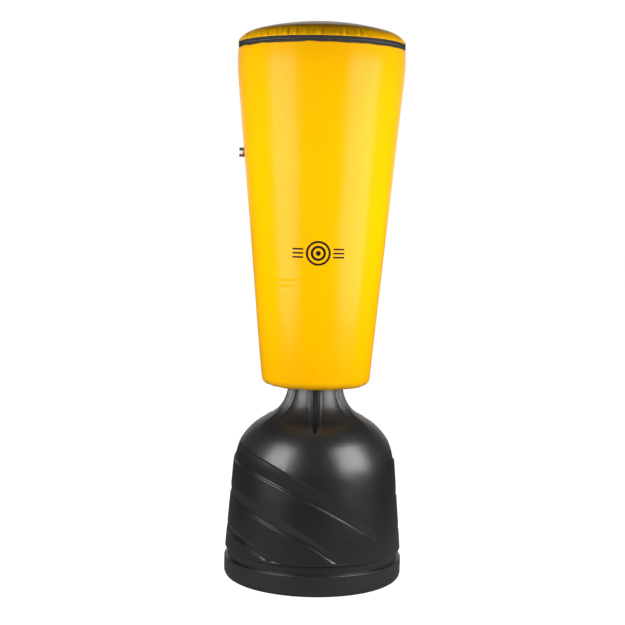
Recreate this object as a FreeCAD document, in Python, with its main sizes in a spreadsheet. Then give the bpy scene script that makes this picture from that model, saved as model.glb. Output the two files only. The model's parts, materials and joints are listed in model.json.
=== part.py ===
# Free-standing heavy punching bag: a fillable bell base, a bonded rubber mount in its neck,
# and a tapered foam bag in a vinyl cover whose domed lid zips on.
# Millimetres. +Z is up, the origin is the middle of the underside, and the front faces -Y.
import FreeCAD, Part
import Sketcher
import math
import os

vector = FreeCAD.Vector
turn = FreeCAD.Rotation

doc = FreeCAD.newDocument("PunchingBag")

sizes = {
    # bell base
    "foot_radius": 274.5,
    "foot_top": 65,
    "foot_round": 20,
    "recess_radius": 205,
    "recess_depth": 6,
    "crease_radius": 268.5,
    "crease_height": 68,
    "groove_radius": 262.5,
    "groove_height": 90,
    "skirt_radius": 272.3,
    "skirt_height": 94,
    "shoulder_radius": 242,
    "shoulder_height": 453.6,
    "shoulder_round": 174,
    "neck_foot_radius": 90,
    "neck_foot_height": 524.5,
    "neck_round": 111,
    "neck_radius": 80,
    "neck_height": 640,
    "neck_lip": 4,
    "wall": 6,
    "floor_height": 12,
    "cavity_neck_radius": 60,
    "cavity_neck_height": 510,
    "cavity_top": 608,
    "cavity_corner_in": 5.7,
    "cavity_corner_down": 4,
    "groove_back": 3,
    "fill_height": 440,
    "fill_gap": 0.5,
    "fill_side_radius": 243.5,
    "fill_side_height": 353.6,
    "fill_top_radius": 200,
    "flute_depth": 13,
    "flute_count": 6,
    "flute_spread": 34,
    "flute_start": 660,
    "flute_bend_radius": 71,
    "flute_bend_height": 590,
    "flute_arc": 124,
    "flute_turn_radius": 137,
    "flute_turn_height": 490,
    "flute_tip_radius": 206,
    "flute_tip_height": 463,
    "claw_depth": 6,
    "tool_overrun": 1,
    # filler
    "filler_offset": 163,
    "filler_height": 490,
    "filler_azimuth": 150,
    "filler_lean": 29.8,
    "boss_radius": 34,
    "boss_rise": 10,
    "boss_root": 14,
    "filler_bore": 20.6,
    "bore_reach": 50,
    "plug_radius": 20,
    "plug_length": 18,
    "cap_radius": 30,
    "cap_thickness": 9,
    "cap_chamfer": 2,
    "grip_radius": 5,
    "grip_offset": 2,
    "grip_count": 12,
    "gasket_thickness": 2.5,
    "gasket_inner": 20.6,
    "gasket_outer": 29,
    # rubber mount and its fasteners
    "plate_radius": 75,
    "plate_thickness": 6,
    "buffer_radius": 48,
    "buffer_waist": 43,
    "buffer_height": 60,
    "buffer_rim": 6,
    "buffer_flare": 16,
    "bolt_circle": 60,
    "bolt_count": 4,
    "bolt_radius": 4,
    "bolt_hole": 4.5,
    "bolt_length": 22,
    "long_bolt_length": 42,
    "head_bite": 1,
    "head_width": 13,
    "head_thickness": 5.4,
    "nut_thickness": 6.5,
    "washer_radius": 8,
    "washer_thickness": 1.6,
    "insert_radius": 6.5,
    "insert_bore": 4.1,
    "insert_length": 24,
    # core of the bag
    "flange_radius": 118,
    "flange_thickness": 24,
    "spigot_inner": 70,
    "spigot_radius": 83.8,
    "spigot_height": 30,
    "core_radius": 90,
    "core_bore": 84,
    "core_top": 1480,
    "core_cap_thickness": 8,
    "core_cap_skirt": 20,
    "core_screw_radius": 2.4,
    "core_screw_hole": 2.5,
    "core_screw_reach": 73,
    "core_screw_tool": 300,
    "core_cap_lip": 4,
    # foam and cover
    "mount_hole": 120,
    "bag_bottom": 597.5,
    "bag_bottom_radius": 164.3,
    "bag_bottom_round": 30,
    "bag_wide_height": 1565,
    "bag_wide_radius": 254.4,
    "bag_taper": 0.0931,
    "sleeve_top": 1616,
    "sleeve_top_radius": 252.9,
    "vinyl": 1.2,
    "seam_radius": 132,
    "fit_gap": 0.3,
    "foam_top": 1602,
    "foam_inset": 1.7,
    "crown_radius": 248,
    "crown_side_height": 1636,
    "crown_edge_radius": 204.4,
    "crown_drop": 2.6,
    "crown_arc": 67,
    # lid
    "lid_rim_height": 1634,
    "lid_rim_radius": 252.5,
    "lid_edge_radius": 205,
    "lid_edge_height": 1672.5,
    "lid_top": 1700,
    "lid_edge_arc": 70,
    "lid_edge_in": 0.3,
    "lid_rim_in": 1.4,
    "hinge_tab_angle": 18,
    "hinge_tab_outer": 252.6,
    # zip
    "tape_outer": 251.3,
    "tape_inner": 250.5,
    "tape_angle": 326,
    "tape_low": 1604,
    "zip_middle": 1625,
    "zip_gap": 1,
    "coil_outer": 252.8,
    "coil_height": 2.4,
    "coil_lip": 0.2,
    "coil_angle": 320,
    "slider_angle": 4,
    "slider_azimuth": 166,
    "slider_half_height": 6,
    "slider_inner": 248.7,
    "slider_inner_face": 250.2,
    "slider_outer_face": 253.2,
    "slider_outer": 255,
    "divider_half_height": 0.4,
    "stop_azimuth": 169.4,
    "stop_angle": 0.7,
    "ear_reach": 259.2,
    "ear_low": 3,
    "ear_high": 4.4,
    "ear_root": 0.5,
    "pivot_radius": 257.4,
    "pin_radius": 0.8,
    "eye_bore": 1.1,
    "eye_radius": 1.8,
    "pull_half_height": 2.7,
    "pull_length": 27,
    "pull_thickness": 1.2,
    # side tag
    "tag_height": 1306,
    "tag_length": 28,
    "tag_reach": 15,
    "tag_thickness": 1.6,
    "tag_clear": 231.4,
}

sheet = doc.addObject("Spreadsheet::Sheet", "Sizes")
for row, (name, value) in enumerate(sizes.items(), start=1):
    sheet.set("A%d" % row, name)
    sheet.set("B%d" % row, str(value))
    sheet.setAlias("B%d" % row, name)
doc.recompute()


# The value of words such as "foot_radius - 2 * wall": sums of products of cells and numbers.
def amount(text):
    total, product, pending = 0.0, 1.0, "*"
    for word in text.split() + ["+"]:
        if word in ("+", "-"):
            total += product
            product, pending = (-1.0 if word == "-" else 1.0), "*"
        elif word in ("*", "/"):
            pending = word
        else:
            number = float(sheet.get(word)) if word in sizes else float(word)
            product = product * number if pending == "*" else product / number
    return total


# The same words with each cell's name written the way an expression wants it.
def bound(text):
    return " ".join("Sizes." + word if word in sizes else word for word in text.split())


def origin_feature(body, role):
    return next(item for item in body.Origin.OriginFeatures if item.Role == role)


def new_body(label):
    body = doc.addObject("PartDesign::Body", label)
    body.Label = label
    body.AllowCompound = True
    return body


def new_sketch(body, name, plane="XZ_Plane", lift=None):
    sketch = body.newObject("Sketcher::SketchObject", name)
    sketch.AttachmentSupport = (origin_feature(body, plane), "")
    sketch.MapMode = "FlatFace"
    if lift:
        sketch.setExpression("AttachmentOffset.Base.z", bound(lift))
    return sketch


# Hold one coordinate of a sketch point to an axis or to a distance bound to the sheet.
def hold(sketch, geometry, point, kind, text):
    if text == "0":
        axis = -2 if kind == "DistanceX" else -1
        sketch.addConstraint(Sketcher.Constraint("PointOnObject", geometry, point, axis))
        return
    index = sketch.addConstraint(
        Sketcher.Constraint(kind, -1, 1, geometry, point, amount(text))
    )
    sketch.setExpression("Constraints[%d]" % index, bound(text))


# The arc of a radius from one point to another; side 1 runs anticlockwise and -1 clockwise.
def arc_between(start, end, radius, side):
    chord = end - start
    rise = math.sqrt(radius**2 - (chord.Length / 2) ** 2)
    across = vector(-chord.y, chord.x, 0) * (side / chord.Length)
    centre = (start + end) * 0.5 + across * rise
    first, last = (start, end) if side > 0 else (end, start)
    angles = [math.atan2(p.y - centre.y, p.x - centre.x) for p in (first, last)]
    circle = Part.Circle(centre, vector(0, 0, 1), radius)
    return Part.ArcOfCircle(circle, angles[0], angles[1])


# Radius of the arc that runs from a point to one on the vertical axis with its centre there.
def radius_about_axis(point, top):
    fall = top.y - point.y
    return (point.x**2 + fall**2) / (2 * fall)


# A closed outline. Each corner is (x, y) in words, and one with a radius and a side is reached
# by an arc of that radius; "crown" stands for the radius that centres the arc on the axis.
def draw_outline(sketch, corners):
    points = [vector(amount(c[0]), amount(c[1]), 0) for c in corners]
    ends = []
    for i, corner in enumerate(corners):
        start, end = points[i - 1], points[i]
        if len(corner) == 2:
            geometry = sketch.addGeometry(Part.LineSegment(start, end), False)
            ends.append((geometry, 1, 2))
            continue
        if corner[2] == "crown":
            point, top = (start, end) if start.x > end.x else (end, start)
            radius = radius_about_axis(point, top)
        else:
            radius = amount(corner[2])
        arc = arc_between(start, end, radius, corner[3])
        geometry = sketch.addGeometry(arc, False)
        ends.append((geometry, 1, 2) if corner[3] > 0 else (geometry, 2, 1))
    for i in range(len(ends)):
        before, after = ends[i], ends[(i + 1) % len(ends)]
        sketch.addConstraint(
            Sketcher.Constraint("Coincident", before[0], before[2], after[0], after[1])
        )
    for corner, (geometry, _, finish) in zip(corners, ends):
        hold(sketch, geometry, finish, "DistanceX", corner[0])
        hold(sketch, geometry, finish, "DistanceY", corner[1])
    for corner, (geometry, _, _) in zip(corners, ends):
        if len(corner) > 2 and corner[2] == "crown":
            sketch.addConstraint(Sketcher.Constraint("PointOnObject", geometry, 3, -2))
        elif len(corner) > 2:
            index = sketch.addConstraint(
                Sketcher.Constraint("Radius", geometry, amount(corner[2]))
            )
            sketch.setExpression("Constraints[%d]" % index, bound(corner[2]))


def draw_circle(sketch, x, y, radius):
    circle = Part.Circle(vector(amount(x), amount(y), 0), vector(0, 0, 1), amount(radius))
    geometry = sketch.addGeometry(circle, False)
    hold(sketch, geometry, 3, "DistanceX", x)
    hold(sketch, geometry, 3, "DistanceY", y)
    index = sketch.addConstraint(Sketcher.Constraint("Radius", geometry, amount(radius)))
    sketch.setExpression("Constraints[%d]" % index, bound(radius))


# A body turned about the Z axis; a part turn is centred on +X before the body is placed.
def turned(label, corners, angle=None):
    body = new_body(label)
    sketch = new_sketch(body, label + "_outline")
    draw_outline(sketch, corners)
    doc.recompute()
    revolution = body.newObject("PartDesign::Revolution", label + "_turn")
    revolution.Profile = sketch
    revolution.ReferenceAxis = (sketch, ["V_Axis"])
    if angle:
        revolution.Midplane = True
        revolution.setExpression("Angle", bound(angle))
    doc.recompute()
    return body


# Round the circular edges that lie at the given (radius, height) pairs.
def round_edges(body, name, spots, radius):
    base = body.Tip
    names = []
    for across, height in spots:
        for number, edge in enumerate(base.Shape.Edges, start=1):
            curve = edge.Curve
            if not isinstance(curve, Part.Circle):
                continue
            level = abs(curve.Center.z - amount(height)) < 0.01
            if level and abs(curve.Radius - amount(across)) < 0.01:
                names.append("Edge%d" % number)
    fillet = body.newObject("PartDesign::Fillet", name)
    fillet.Base = (base, names)
    fillet.setExpression("Radius", bound(radius))
    doc.recompute()


# Repeat features about the Z axis, and make the pattern the body's result.
def repeat_round(body, name, originals, count):
    pattern = body.newObject("PartDesign::PolarPattern", name)
    pattern.Originals = originals
    pattern.Axis = (origin_feature(body, "Z_Axis"), [""])
    pattern.Angle = 360
    pattern.setExpression("Occurrences", bound(count))
    body.Tip = pattern
    doc.recompute()


# Holes through a plate on the bolt circle.
def bore_bolt_circle(body, name, radius):
    before = body.Shape.Volume
    sketch = new_sketch(body, name + "_circle", "XY_Plane")
    draw_circle(sketch, "bolt_circle", "0", radius)
    pocket = body.newObject("PartDesign::Pocket", name)
    pocket.Profile = sketch
    pocket.Type = "ThroughAll"
    pocket.Midplane = True
    doc.recompute()
    repeat_round(body, name + "_pattern", [pocket], "bolt_count")
    if body.Shape.Volume >= before:
        raise RuntimeError(name + " cut nothing")


def pad_up(body, name, sketch, length):
    pad = body.newObject("PartDesign::Pad", name)
    pad.Profile = sketch
    pad.setExpression("Length", bound(length))
    doc.recompute()
    return pad


# A hexagon across the flats on the bolt circle.
def draw_hexagon(sketch):
    middle = amount("bolt_circle")
    corner = amount("head_width / 2") / math.cos(math.pi / 6)
    steps = [math.radians(60 * k) for k in range(6)]
    points = [
        vector(middle + corner * math.cos(a), corner * math.sin(a), 0) for a in steps
    ]
    for start, end in zip(points, points[1:] + points[:1]):
        sketch.addGeometry(Part.LineSegment(start, end), False)
    for k in range(6):
        sketch.addConstraint(Sketcher.Constraint("Coincident", k, 2, (k + 1) % 6, 1))
    flats = sketch.addConstraint(
        Sketcher.Constraint("Distance", 1, 1, 4, 2, amount("head_width"))
    )
    sketch.setExpression("Constraints[%d]" % flats, bound("head_width"))


def ring_group(label, low, height, outer, inner=None):
    body = new_body(label)
    sketch = new_sketch(body, label + "_circle", "XY_Plane", low)
    draw_circle(sketch, "bolt_circle", "0", outer)
    if inner:
        draw_circle(sketch, "bolt_circle", "0", inner)
    pad = pad_up(body, label + "_pad", sketch, height)
    repeat_round(body, label + "_pattern", [pad], "bolt_count")
    return body


# Hexagon bolts on the bolt circle; the head is a pad from head_low and the shank one from
# shank_low.
def bolt_group(label, head_low, shank_low, length):
    body = new_body(label)
    head = new_sketch(body, label + "_hexagon", "XY_Plane", head_low)
    draw_hexagon(head)
    head_pad = pad_up(body, label + "_head", head, "head_thickness")
    shank = new_sketch(body, label + "_round", "XY_Plane", shank_low)
    draw_circle(shank, "bolt_circle", "0", "bolt_radius")
    shank_pad = pad_up(body, label + "_shank", shank, length)
    repeat_round(body, label + "_pattern", [head_pad, shank_pad], "bolt_count")
    return body


def nut_group(label, low):
    body = new_body(label)
    sketch = new_sketch(body, label + "_hexagon", "XY_Plane", low)
    draw_hexagon(sketch)
    draw_circle(sketch, "bolt_circle", "0", "insert_bore")
    pad = pad_up(body, label + "_pad", sketch, "nut_thickness")
    repeat_round(body, label + "_pattern", [pad], "bolt_count")
    return body


def boolean(kind, label, base, tool):
    result = doc.addObject("Part::" + kind, label)
    result.Base = base
    result.Tool = tool
    result.Label = label
    doc.recompute()
    return result


def cylinder(label, radius, height, placement):
    result = doc.addObject("Part::Cylinder", label)
    result.Label = label
    result.setExpression("Radius", bound(radius))
    result.setExpression("Height", bound(height))
    result.Placement = placement
    doc.recompute()
    return result


def about_z(degrees):
    return turn(vector(0, 0, 1), degrees)


# The claw-like recesses sweep down round the bell. Each station is the azimuth from the front
# in degrees, the heights of the upper and lower edges, and the share of the full depth.
claws = [
    [
        (-104, 420, 376, 0.1),
        (-84, 421, 365, 0.8),
        (-56, 411, 355, 1),
        (-30, 384, 327, 1),
        (0, 322, 272, 1),
        (20, 270, 224, 1),
        (36, 216, 180, 0.9),
        (47, 174, 158, 0.1),
    ],
    [
        (-100, 286, 258, 0.1),
        (-80, 287, 248, 0.8),
        (-52, 273, 231, 1),
        (-24, 231, 193, 1),
        (0, 173, 145, 1),
        (15, 130, 108, 0.8),
    ],
    [
        (-98, 170, 152, 0.1),
        (-80, 169, 142, 0.8),
        (-54, 158, 133, 1),
        (-36, 134, 112, 0.9),
        (-26, 114, 102, 0.5),
    ],
]


# Radius of the bell's plain side and shoulder at a height.
def bell_radius(height):
    run = amount("skirt_radius - shoulder_radius")
    rise = amount("shoulder_height - skirt_height")
    slope = run / rise
    lean = math.atan(slope)
    top_lean = math.atan2(
        amount("neck_foot_height - shoulder_height"),
        amount("shoulder_radius - neck_foot_radius"),
    )
    turning = math.pi / 2 - lean - top_lean
    radius = amount("shoulder_round")
    reach = radius * math.tan(turning / 2)
    start_height = amount("shoulder_height") - reach * math.cos(lean)
    start_radius = amount("shoulder_radius") + reach * math.sin(lean)
    if height <= start_height:
        return start_radius + (start_height - height) * slope
    middle_radius = start_radius - radius * math.cos(lean)
    middle_height = start_height - radius * math.sin(lean)
    return middle_radius + math.sqrt(radius**2 - (height - middle_height) ** 2)


# How the cutter of a claw stands past the bell's side: above the claw's upper edge, at its
# lower edge and in between, and how tall its steep lower wall is.
claw_tool = {"above": 0.3, "below": 1.0, "proud": 6.0, "wall": 3.0}


# A wedge that follows a claw: nothing at its upper edge, and full depth above its lower edge.
def claw_cutter(stations, depth, spread):
    wires = []
    for azimuth, upper, lower, share in stations:
        upper += spread
        lower -= spread
        middle = (upper + lower) / 2
        deep = lower + min(claw_tool["wall"], (upper - lower) / 4)
        foot = lower - claw_tool["below"]
        outline = [
            (bell_radius(upper) + claw_tool["above"], upper),
            (bell_radius(deep) - depth * share, deep),
            (bell_radius(lower) + claw_tool["below"], foot),
            (bell_radius(middle) + claw_tool["proud"], middle),
        ]
        angle = math.radians(azimuth - 90)
        points = [vector(r * math.cos(angle), r * math.sin(angle), z) for r, z in outline]
        wires.append(Part.makePolygon(points + points[:1]))
    return Part.makeLoft(wires, True, False)


# The cutters of all the claws, and the same again turned half round; sizes are in words.
def claw_group(label, depth, spread):
    cutters = []
    for stations in claws:
        cutter = claw_cutter(stations, amount(depth), amount(spread))
        rear = cutter.copy()
        rear.rotate(vector(0, 0, 0), vector(0, 0, 1), 180)
        cutters += [cutter, rear]
    group = doc.addObject("Part::Feature", label)
    group.Label = label
    group.Shape = Part.makeCompound(cutters)
    return group


# The flutes' bottom line, from above the neck down to where it leaves the shoulder.
def draw_flute_path(sketch):
    stops = [
        ("neck_radius - flute_depth", "flute_start"),
        ("flute_bend_radius", "flute_bend_height"),
        ("flute_turn_radius", "flute_turn_height"),
        ("flute_tip_radius", "flute_tip_height"),
    ]
    top, bend, shoulder, tip = [vector(amount(x), amount(y), 0) for x, y in stops]
    sketch.addGeometry(Part.LineSegment(top, bend), False)
    sketch.addGeometry(arc_between(bend, shoulder, amount("flute_arc"), 1), False)
    sketch.addGeometry(Part.LineSegment(shoulder, tip), False)
    for geometry in (0, 1):
        sketch.addConstraint(Sketcher.Constraint("Coincident", geometry, 2, geometry + 1, 1))
    for (geometry, point), (x, y) in zip([(0, 1), (0, 2), (2, 1), (2, 2)], stops):
        hold(sketch, geometry, point, "DistanceX", x)
        hold(sketch, geometry, point, "DistanceY", y)


# One V groove down the neck and out over the shoulder, repeated round the axis.
def cut_flutes(body):
    before = body.Shape.Volume
    spine = new_sketch(body, "flute_path")
    draw_flute_path(spine)
    section = new_sketch(body, "flute_section", "XY_Plane", "flute_start")
    apex = amount("neck_radius - flute_depth")
    spread = amount("flute_spread")
    corners = [
        vector(apex, 0, 0),
        vector(apex + spread, spread, 0),
        vector(apex + spread, -spread, 0),
    ]
    for start, end in zip(corners, corners[1:] + corners[:1]):
        section.addGeometry(Part.LineSegment(start, end), False)
    for k in range(3):
        section.addConstraint(Sketcher.Constraint("Coincident", k, 2, (k + 1) % 3, 1))
    hold(section, 0, 1, "DistanceX", "neck_radius - flute_depth")
    doc.recompute()
    pipe = body.newObject("PartDesign::SubtractivePipe", "flute")
    pipe.Profile = section
    pipe.Spine = (spine, ["Edge1", "Edge2", "Edge3"])
    doc.recompute()
    repeat_round(body, "flutes", [pipe], "flute_count")
    if body.Shape.Volume >= before:
        raise RuntimeError("the flutes cut nothing")


def tank_outside():
    body = turned(
        "tank_outside",
        [
            ("0", "recess_depth"),
            ("recess_radius", "recess_depth"),
            ("recess_radius + recess_depth", "0"),
            ("foot_radius", "0"),
            ("foot_radius", "foot_top"),
            ("crease_radius", "crease_height"),
            ("groove_radius", "groove_height"),
            ("skirt_radius", "skirt_height"),
            ("shoulder_radius", "shoulder_height"),
            ("neck_foot_radius", "neck_foot_height"),
            ("neck_radius", "neck_height"),
            ("0", "neck_height"),
        ],
    )
    round_edges(body, "shoulder", [("shoulder_radius", "shoulder_height")], "shoulder_round")
    round_edges(body, "neck", [("neck_foot_radius", "neck_foot_height")], "neck_round")
    round_edges(body, "foot_edge", [("foot_radius", "0")], "foot_round")
    round_edges(
        body, "lips", [("neck_radius", "neck_height"), ("foot_radius", "foot_top")], "neck_lip"
    )
    cut_flutes(body)
    body.Placement.Rotation = about_z(-90)
    return body


# The lower corners of the tank's hollow, drawn in by a gap in words.
def hollow_foot(gap):
    return [
        ("0", "floor_height + " + gap),
        ("foot_radius - wall - " + gap, "floor_height + " + gap),
        ("foot_radius - wall - " + gap, "foot_top - wall - " + gap),
        ("groove_radius - wall - " + gap, "foot_top - " + gap),
        ("groove_radius - wall - " + gap, "groove_height + groove_back + " + gap),
        ("skirt_radius - wall - " + gap, "skirt_height + wall + " + gap),
    ]


def tank_hollow():
    shoulder = ("shoulder_radius - cavity_corner_in", "shoulder_height - cavity_corner_down")
    corners = hollow_foot("0") + [
        shoulder,
        ("cavity_neck_radius", "cavity_neck_height"),
        ("cavity_neck_radius", "cavity_top"),
        ("0", "cavity_top"),
    ]
    body = turned("tank_hollow", corners)
    round_edges(body, "hollow_shoulder", [shoulder], "shoulder_round - wall")
    return body


def filler_placement():
    azimuth = math.radians(amount("filler_azimuth - 90"))
    lean = math.radians(amount("filler_lean"))
    out = vector(math.cos(azimuth), math.sin(azimuth), 0)
    axis = out * math.sin(lean) + vector(0, 0, math.cos(lean))
    base = out * amount("filler_offset") + vector(0, 0, amount("filler_height"))
    return base, axis


def along_filler(distance):
    base, axis = filler_placement()
    return FreeCAD.Placement(base + axis * distance, turn(vector(0, 0, 1), axis))


def base_tank():
    clawed = boolean("Cut", "tank_clawed", tank_outside(), claw_group("claws", "claw_depth", "0"))
    root = along_filler(-amount("boss_root"))
    boss = cylinder("filler_boss", "boss_radius", "boss_rise + boss_root", root)
    bossed = boolean("Fuse", "tank_bossed", clawed, boss)
    backs = claw_group("claw_backs", "claw_depth + wall", "wall")
    cavity = boolean("Cut", "tank_cavity", tank_hollow(), backs)
    shell = boolean("Cut", "tank_shell", bossed, cavity)
    below = along_filler(-amount("bore_reach"))
    bore = cylinder("filler_bore_tool", "filler_bore", "2 * bore_reach", below)
    bored = boolean("Cut", "tank_bored", shell, bore)
    low = "neck_height - insert_length"
    seats = ring_group("insert_seats", low, "insert_length + tool_overrun", "insert_radius")
    placed_at_45(seats)
    return boolean("Cut", "base_tank", bored, seats)


# The ballast, a little clear of the tank's walls and of the backs of the claws.
def water_ballast():
    corners = hollow_foot("fill_gap") + [
        ("fill_side_radius", "fill_side_height"),
        ("fill_top_radius", "fill_height"),
        ("0", "fill_height"),
    ]
    water = turned("water_fill", corners)
    backs = claw_group(
        "claw_backs_wide", "claw_depth + wall + tool_overrun", "wall + tool_overrun"
    )
    return boolean("Cut", "water_ballast", water, backs)


def filler_cap():
    body = turned(
        "filler_cap",
        [
            ("0", "0 - plug_length"),
            ("plug_radius - cap_chamfer", "0 - plug_length"),
            ("plug_radius", "cap_chamfer - plug_length"),
            ("plug_radius", "gasket_thickness"),
            ("cap_radius", "gasket_thickness"),
            ("cap_radius", "gasket_thickness + cap_thickness - cap_chamfer"),
            ("cap_radius - cap_chamfer", "gasket_thickness + cap_thickness"),
            ("0", "gasket_thickness + cap_thickness"),
        ],
    )
    before = body.Shape.Volume
    sketch = new_sketch(body, "grip_circle", "XY_Plane", "gasket_thickness + cap_chamfer")
    draw_circle(sketch, "cap_radius + grip_offset", "0", "grip_radius")
    pocket = body.newObject("PartDesign::Pocket", "grip")
    pocket.Profile = sketch
    pocket.Reversed = True
    pocket.setExpression("Length", bound("cap_thickness"))
    doc.recompute()
    repeat_round(body, "grips", [pocket], "grip_count")
    if body.Shape.Volume >= before:
        raise RuntimeError("the grips cut nothing")
    body.Placement = along_filler(amount("boss_rise"))
    return body


def filler_gasket():
    body = turned(
        "filler_gasket",
        [
            ("gasket_inner", "0"),
            ("gasket_outer", "0"),
            ("gasket_outer", "gasket_thickness"),
            ("gasket_inner", "gasket_thickness"),
        ],
    )
    body.Placement = along_filler(amount("boss_rise"))
    return body


def disc(label, low, thickness, radius):
    return turned(
        label,
        [
            ("0", low),
            (radius, low),
            (radius, low + " + " + thickness),
            ("0", low + " + " + thickness),
        ],
    )


def mount_plate(label, low):
    body = disc(label, low, "plate_thickness", "plate_radius")
    bore_bolt_circle(body, label + "_holes", "bolt_hole")
    body.Placement.Rotation = about_z(45)
    return body


def placed_at_45(body):
    body.Placement.Rotation = about_z(45)
    return body


buffer_low = "neck_height + plate_thickness"
buffer_high = buffer_low + " + buffer_height"
flange_low = buffer_high + " + plate_thickness"
flange_high = flange_low + " + flange_thickness"


def rubber_buffer():
    return turned(
        "rubber_buffer",
        [
            ("0", buffer_low),
            ("buffer_radius", buffer_low),
            ("buffer_radius", buffer_low + " + buffer_rim"),
            ("buffer_waist", buffer_low + " + buffer_flare"),
            ("buffer_waist", buffer_high + " - buffer_flare"),
            ("buffer_radius", buffer_high + " - buffer_rim"),
            ("buffer_radius", buffer_high),
            ("0", buffer_high),
        ],
    )


# Long round tools crossing at the spigot, for its four screws.
def cross_tool(label, radius):
    height = amount(flange_high + " + spigot_height / 2")
    bars = []
    for name, axis in (("side", vector(1, 0, 0)), ("fore", vector(0, 1, 0))):
        start = axis * (-amount("core_screw_tool") / 2) + vector(0, 0, height)
        place = FreeCAD.Placement(start, turn(vector(0, 0, 1), axis))
        bars.append(cylinder(label + "_" + name, radius, "core_screw_tool", place))
    return boolean("Fuse", label, bars[0], bars[1])


def core_flange(cross):
    body = turned(
        "flange_blank",
        [
            ("0", flange_low),
            ("flange_radius", flange_low),
            ("flange_radius", flange_high),
            ("spigot_radius", flange_high),
            ("spigot_radius", flange_high + " + spigot_height"),
            ("spigot_inner", flange_high + " + spigot_height"),
            ("spigot_inner", flange_high),
            ("0", flange_high),
        ],
    )
    bore_bolt_circle(body, "flange_holes", "bolt_hole")
    placed_at_45(body)
    return boolean("Cut", "core_flange", body, cross)


def core_tube(cross):
    body = turned(
        "tube_blank",
        [
            ("core_bore", flange_high),
            ("core_radius", flange_high),
            ("core_radius", "core_top"),
            ("core_bore", "core_top"),
        ],
    )
    return boolean("Cut", "core_tube", body, cross)


def core_screws():
    height = amount(flange_high + " + spigot_height / 2")
    reach = amount("core_screw_reach")
    length = amount("core_radius - core_screw_reach")
    radius = amount("core_screw_radius")
    screws = []
    for step in range(4):
        axis = about_z(90 * step).multVec(vector(1, 0, 0))
        start = axis * reach + vector(0, 0, height)
        screws.append(Part.makeCylinder(radius, length, start, axis))
    group = doc.addObject("Part::Feature", "core_screws")
    group.Label = "core_screws"
    group.Shape = Part.makeCompound(screws)
    return group


def core_cap():
    return turned(
        "core_cap",
        [
            ("0", "core_top"),
            ("spigot_radius - core_cap_lip", "core_top"),
            ("spigot_radius - core_cap_lip", "core_top - core_cap_skirt"),
            ("spigot_radius", "core_top - core_cap_skirt"),
            ("spigot_radius", "core_top"),
            ("core_radius", "core_top"),
            ("core_radius", "core_top + core_cap_thickness"),
            ("0", "core_top + core_cap_thickness"),
        ],
    )


# Radius of the foam on the bag's straight taper, at a height in words.
def taper_radius(height):
    grown = " + ".join("bag_taper * " + term for term in height.split(" + "))
    return "bag_bottom_radius - bag_taper * bag_bottom + " + grown + " - foam_inset"


def foam_skirt():
    bottom = "bag_bottom + foam_inset"
    edge = ("bag_bottom_radius - foam_inset", bottom)
    body = turned(
        "foam_skirt",
        [
            ("mount_hole", bottom),
            edge,
            (taper_radius(flange_high), flange_high),
            ("mount_hole", flange_high),
        ],
    )
    round_edges(body, "skirt_edge", [edge], "bag_bottom_round - vinyl")
    return body


def foam_sleeve():
    low = flange_high + " + fit_gap"
    return turned(
        "foam_sleeve",
        [
            ("core_radius + fit_gap", low),
            (taper_radius(low), low),
            ("bag_wide_radius - foam_inset", "bag_wide_height"),
            ("sleeve_top_radius - foam_inset", "foam_top"),
            ("core_radius + fit_gap", "foam_top"),
        ],
    )


def foam_top_plug():
    low = "core_top + core_cap_thickness + fit_gap"
    height = "foam_top - core_top - core_cap_thickness - fit_gap"
    return disc("foam_top_plug", low, height, "core_radius")


def foam_crown():
    return turned(
        "foam_crown",
        [
            ("0", "foam_top + fit_gap"),
            ("crown_radius", "foam_top + fit_gap"),
            ("crown_radius", "crown_side_height"),
            ("crown_edge_radius", "lid_edge_height - crown_drop", "crown_arc", 1),
            ("0", "lid_top - crown_drop", "crown", 1),
        ],
    )


def cover_sleeve():
    outer_foot = ("bag_bottom_radius", "bag_bottom")
    inner_foot = ("bag_bottom_radius - vinyl", "bag_bottom + vinyl")
    body = turned(
        "cover_sleeve",
        [
            ("seam_radius", "bag_bottom"),
            outer_foot,
            ("bag_wide_radius", "bag_wide_height"),
            ("sleeve_top_radius", "sleeve_top"),
            ("sleeve_top_radius - vinyl", "sleeve_top"),
            ("bag_wide_radius - vinyl", "bag_wide_height"),
            inner_foot,
            ("seam_radius", "bag_bottom + vinyl"),
        ],
    )
    round_edges(body, "sleeve_foot", [outer_foot], "bag_bottom_round")
    round_edges(body, "sleeve_foot_inside", [inner_foot], "bag_bottom_round - vinyl")
    return body


def cover_base_ring():
    return turned(
        "cover_base_ring",
        [
            ("mount_hole + fit_gap", "bag_bottom"),
            ("seam_radius - fit_gap", "bag_bottom"),
            ("seam_radius - fit_gap", "bag_bottom + vinyl"),
            ("mount_hole + fit_gap", "bag_bottom + vinyl"),
        ],
    )


def cover_lid():
    return turned(
        "cover_lid",
        [
            ("lid_rim_radius", "lid_rim_height"),
            ("lid_edge_radius", "lid_edge_height", "lid_edge_arc", 1),
            ("0", "lid_top", "crown", 1),
            ("0", "lid_top - vinyl"),
            ("lid_edge_radius - lid_edge_in", "lid_edge_height - vinyl", "crown", -1),
            ("lid_rim_radius - lid_rim_in", "lid_rim_height", "lid_edge_arc - vinyl", -1),
        ],
    )


def band(label, inner, outer, low, high, angle=None, azimuth="0"):
    corners = [(inner, low), (outer, low), (outer, high), (inner, high)]
    body = turned(label, corners, angle)
    body.Placement.Rotation = about_z(amount(azimuth) - 90)
    return body


def lid_hinge_tab():
    return band(
        "lid_hinge_tab",
        "tape_outer + fit_gap",
        "hinge_tab_outer",
        "sleeve_top + fit_gap",
        "lid_rim_height - fit_gap",
        "hinge_tab_angle",
        "180",
    )


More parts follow.
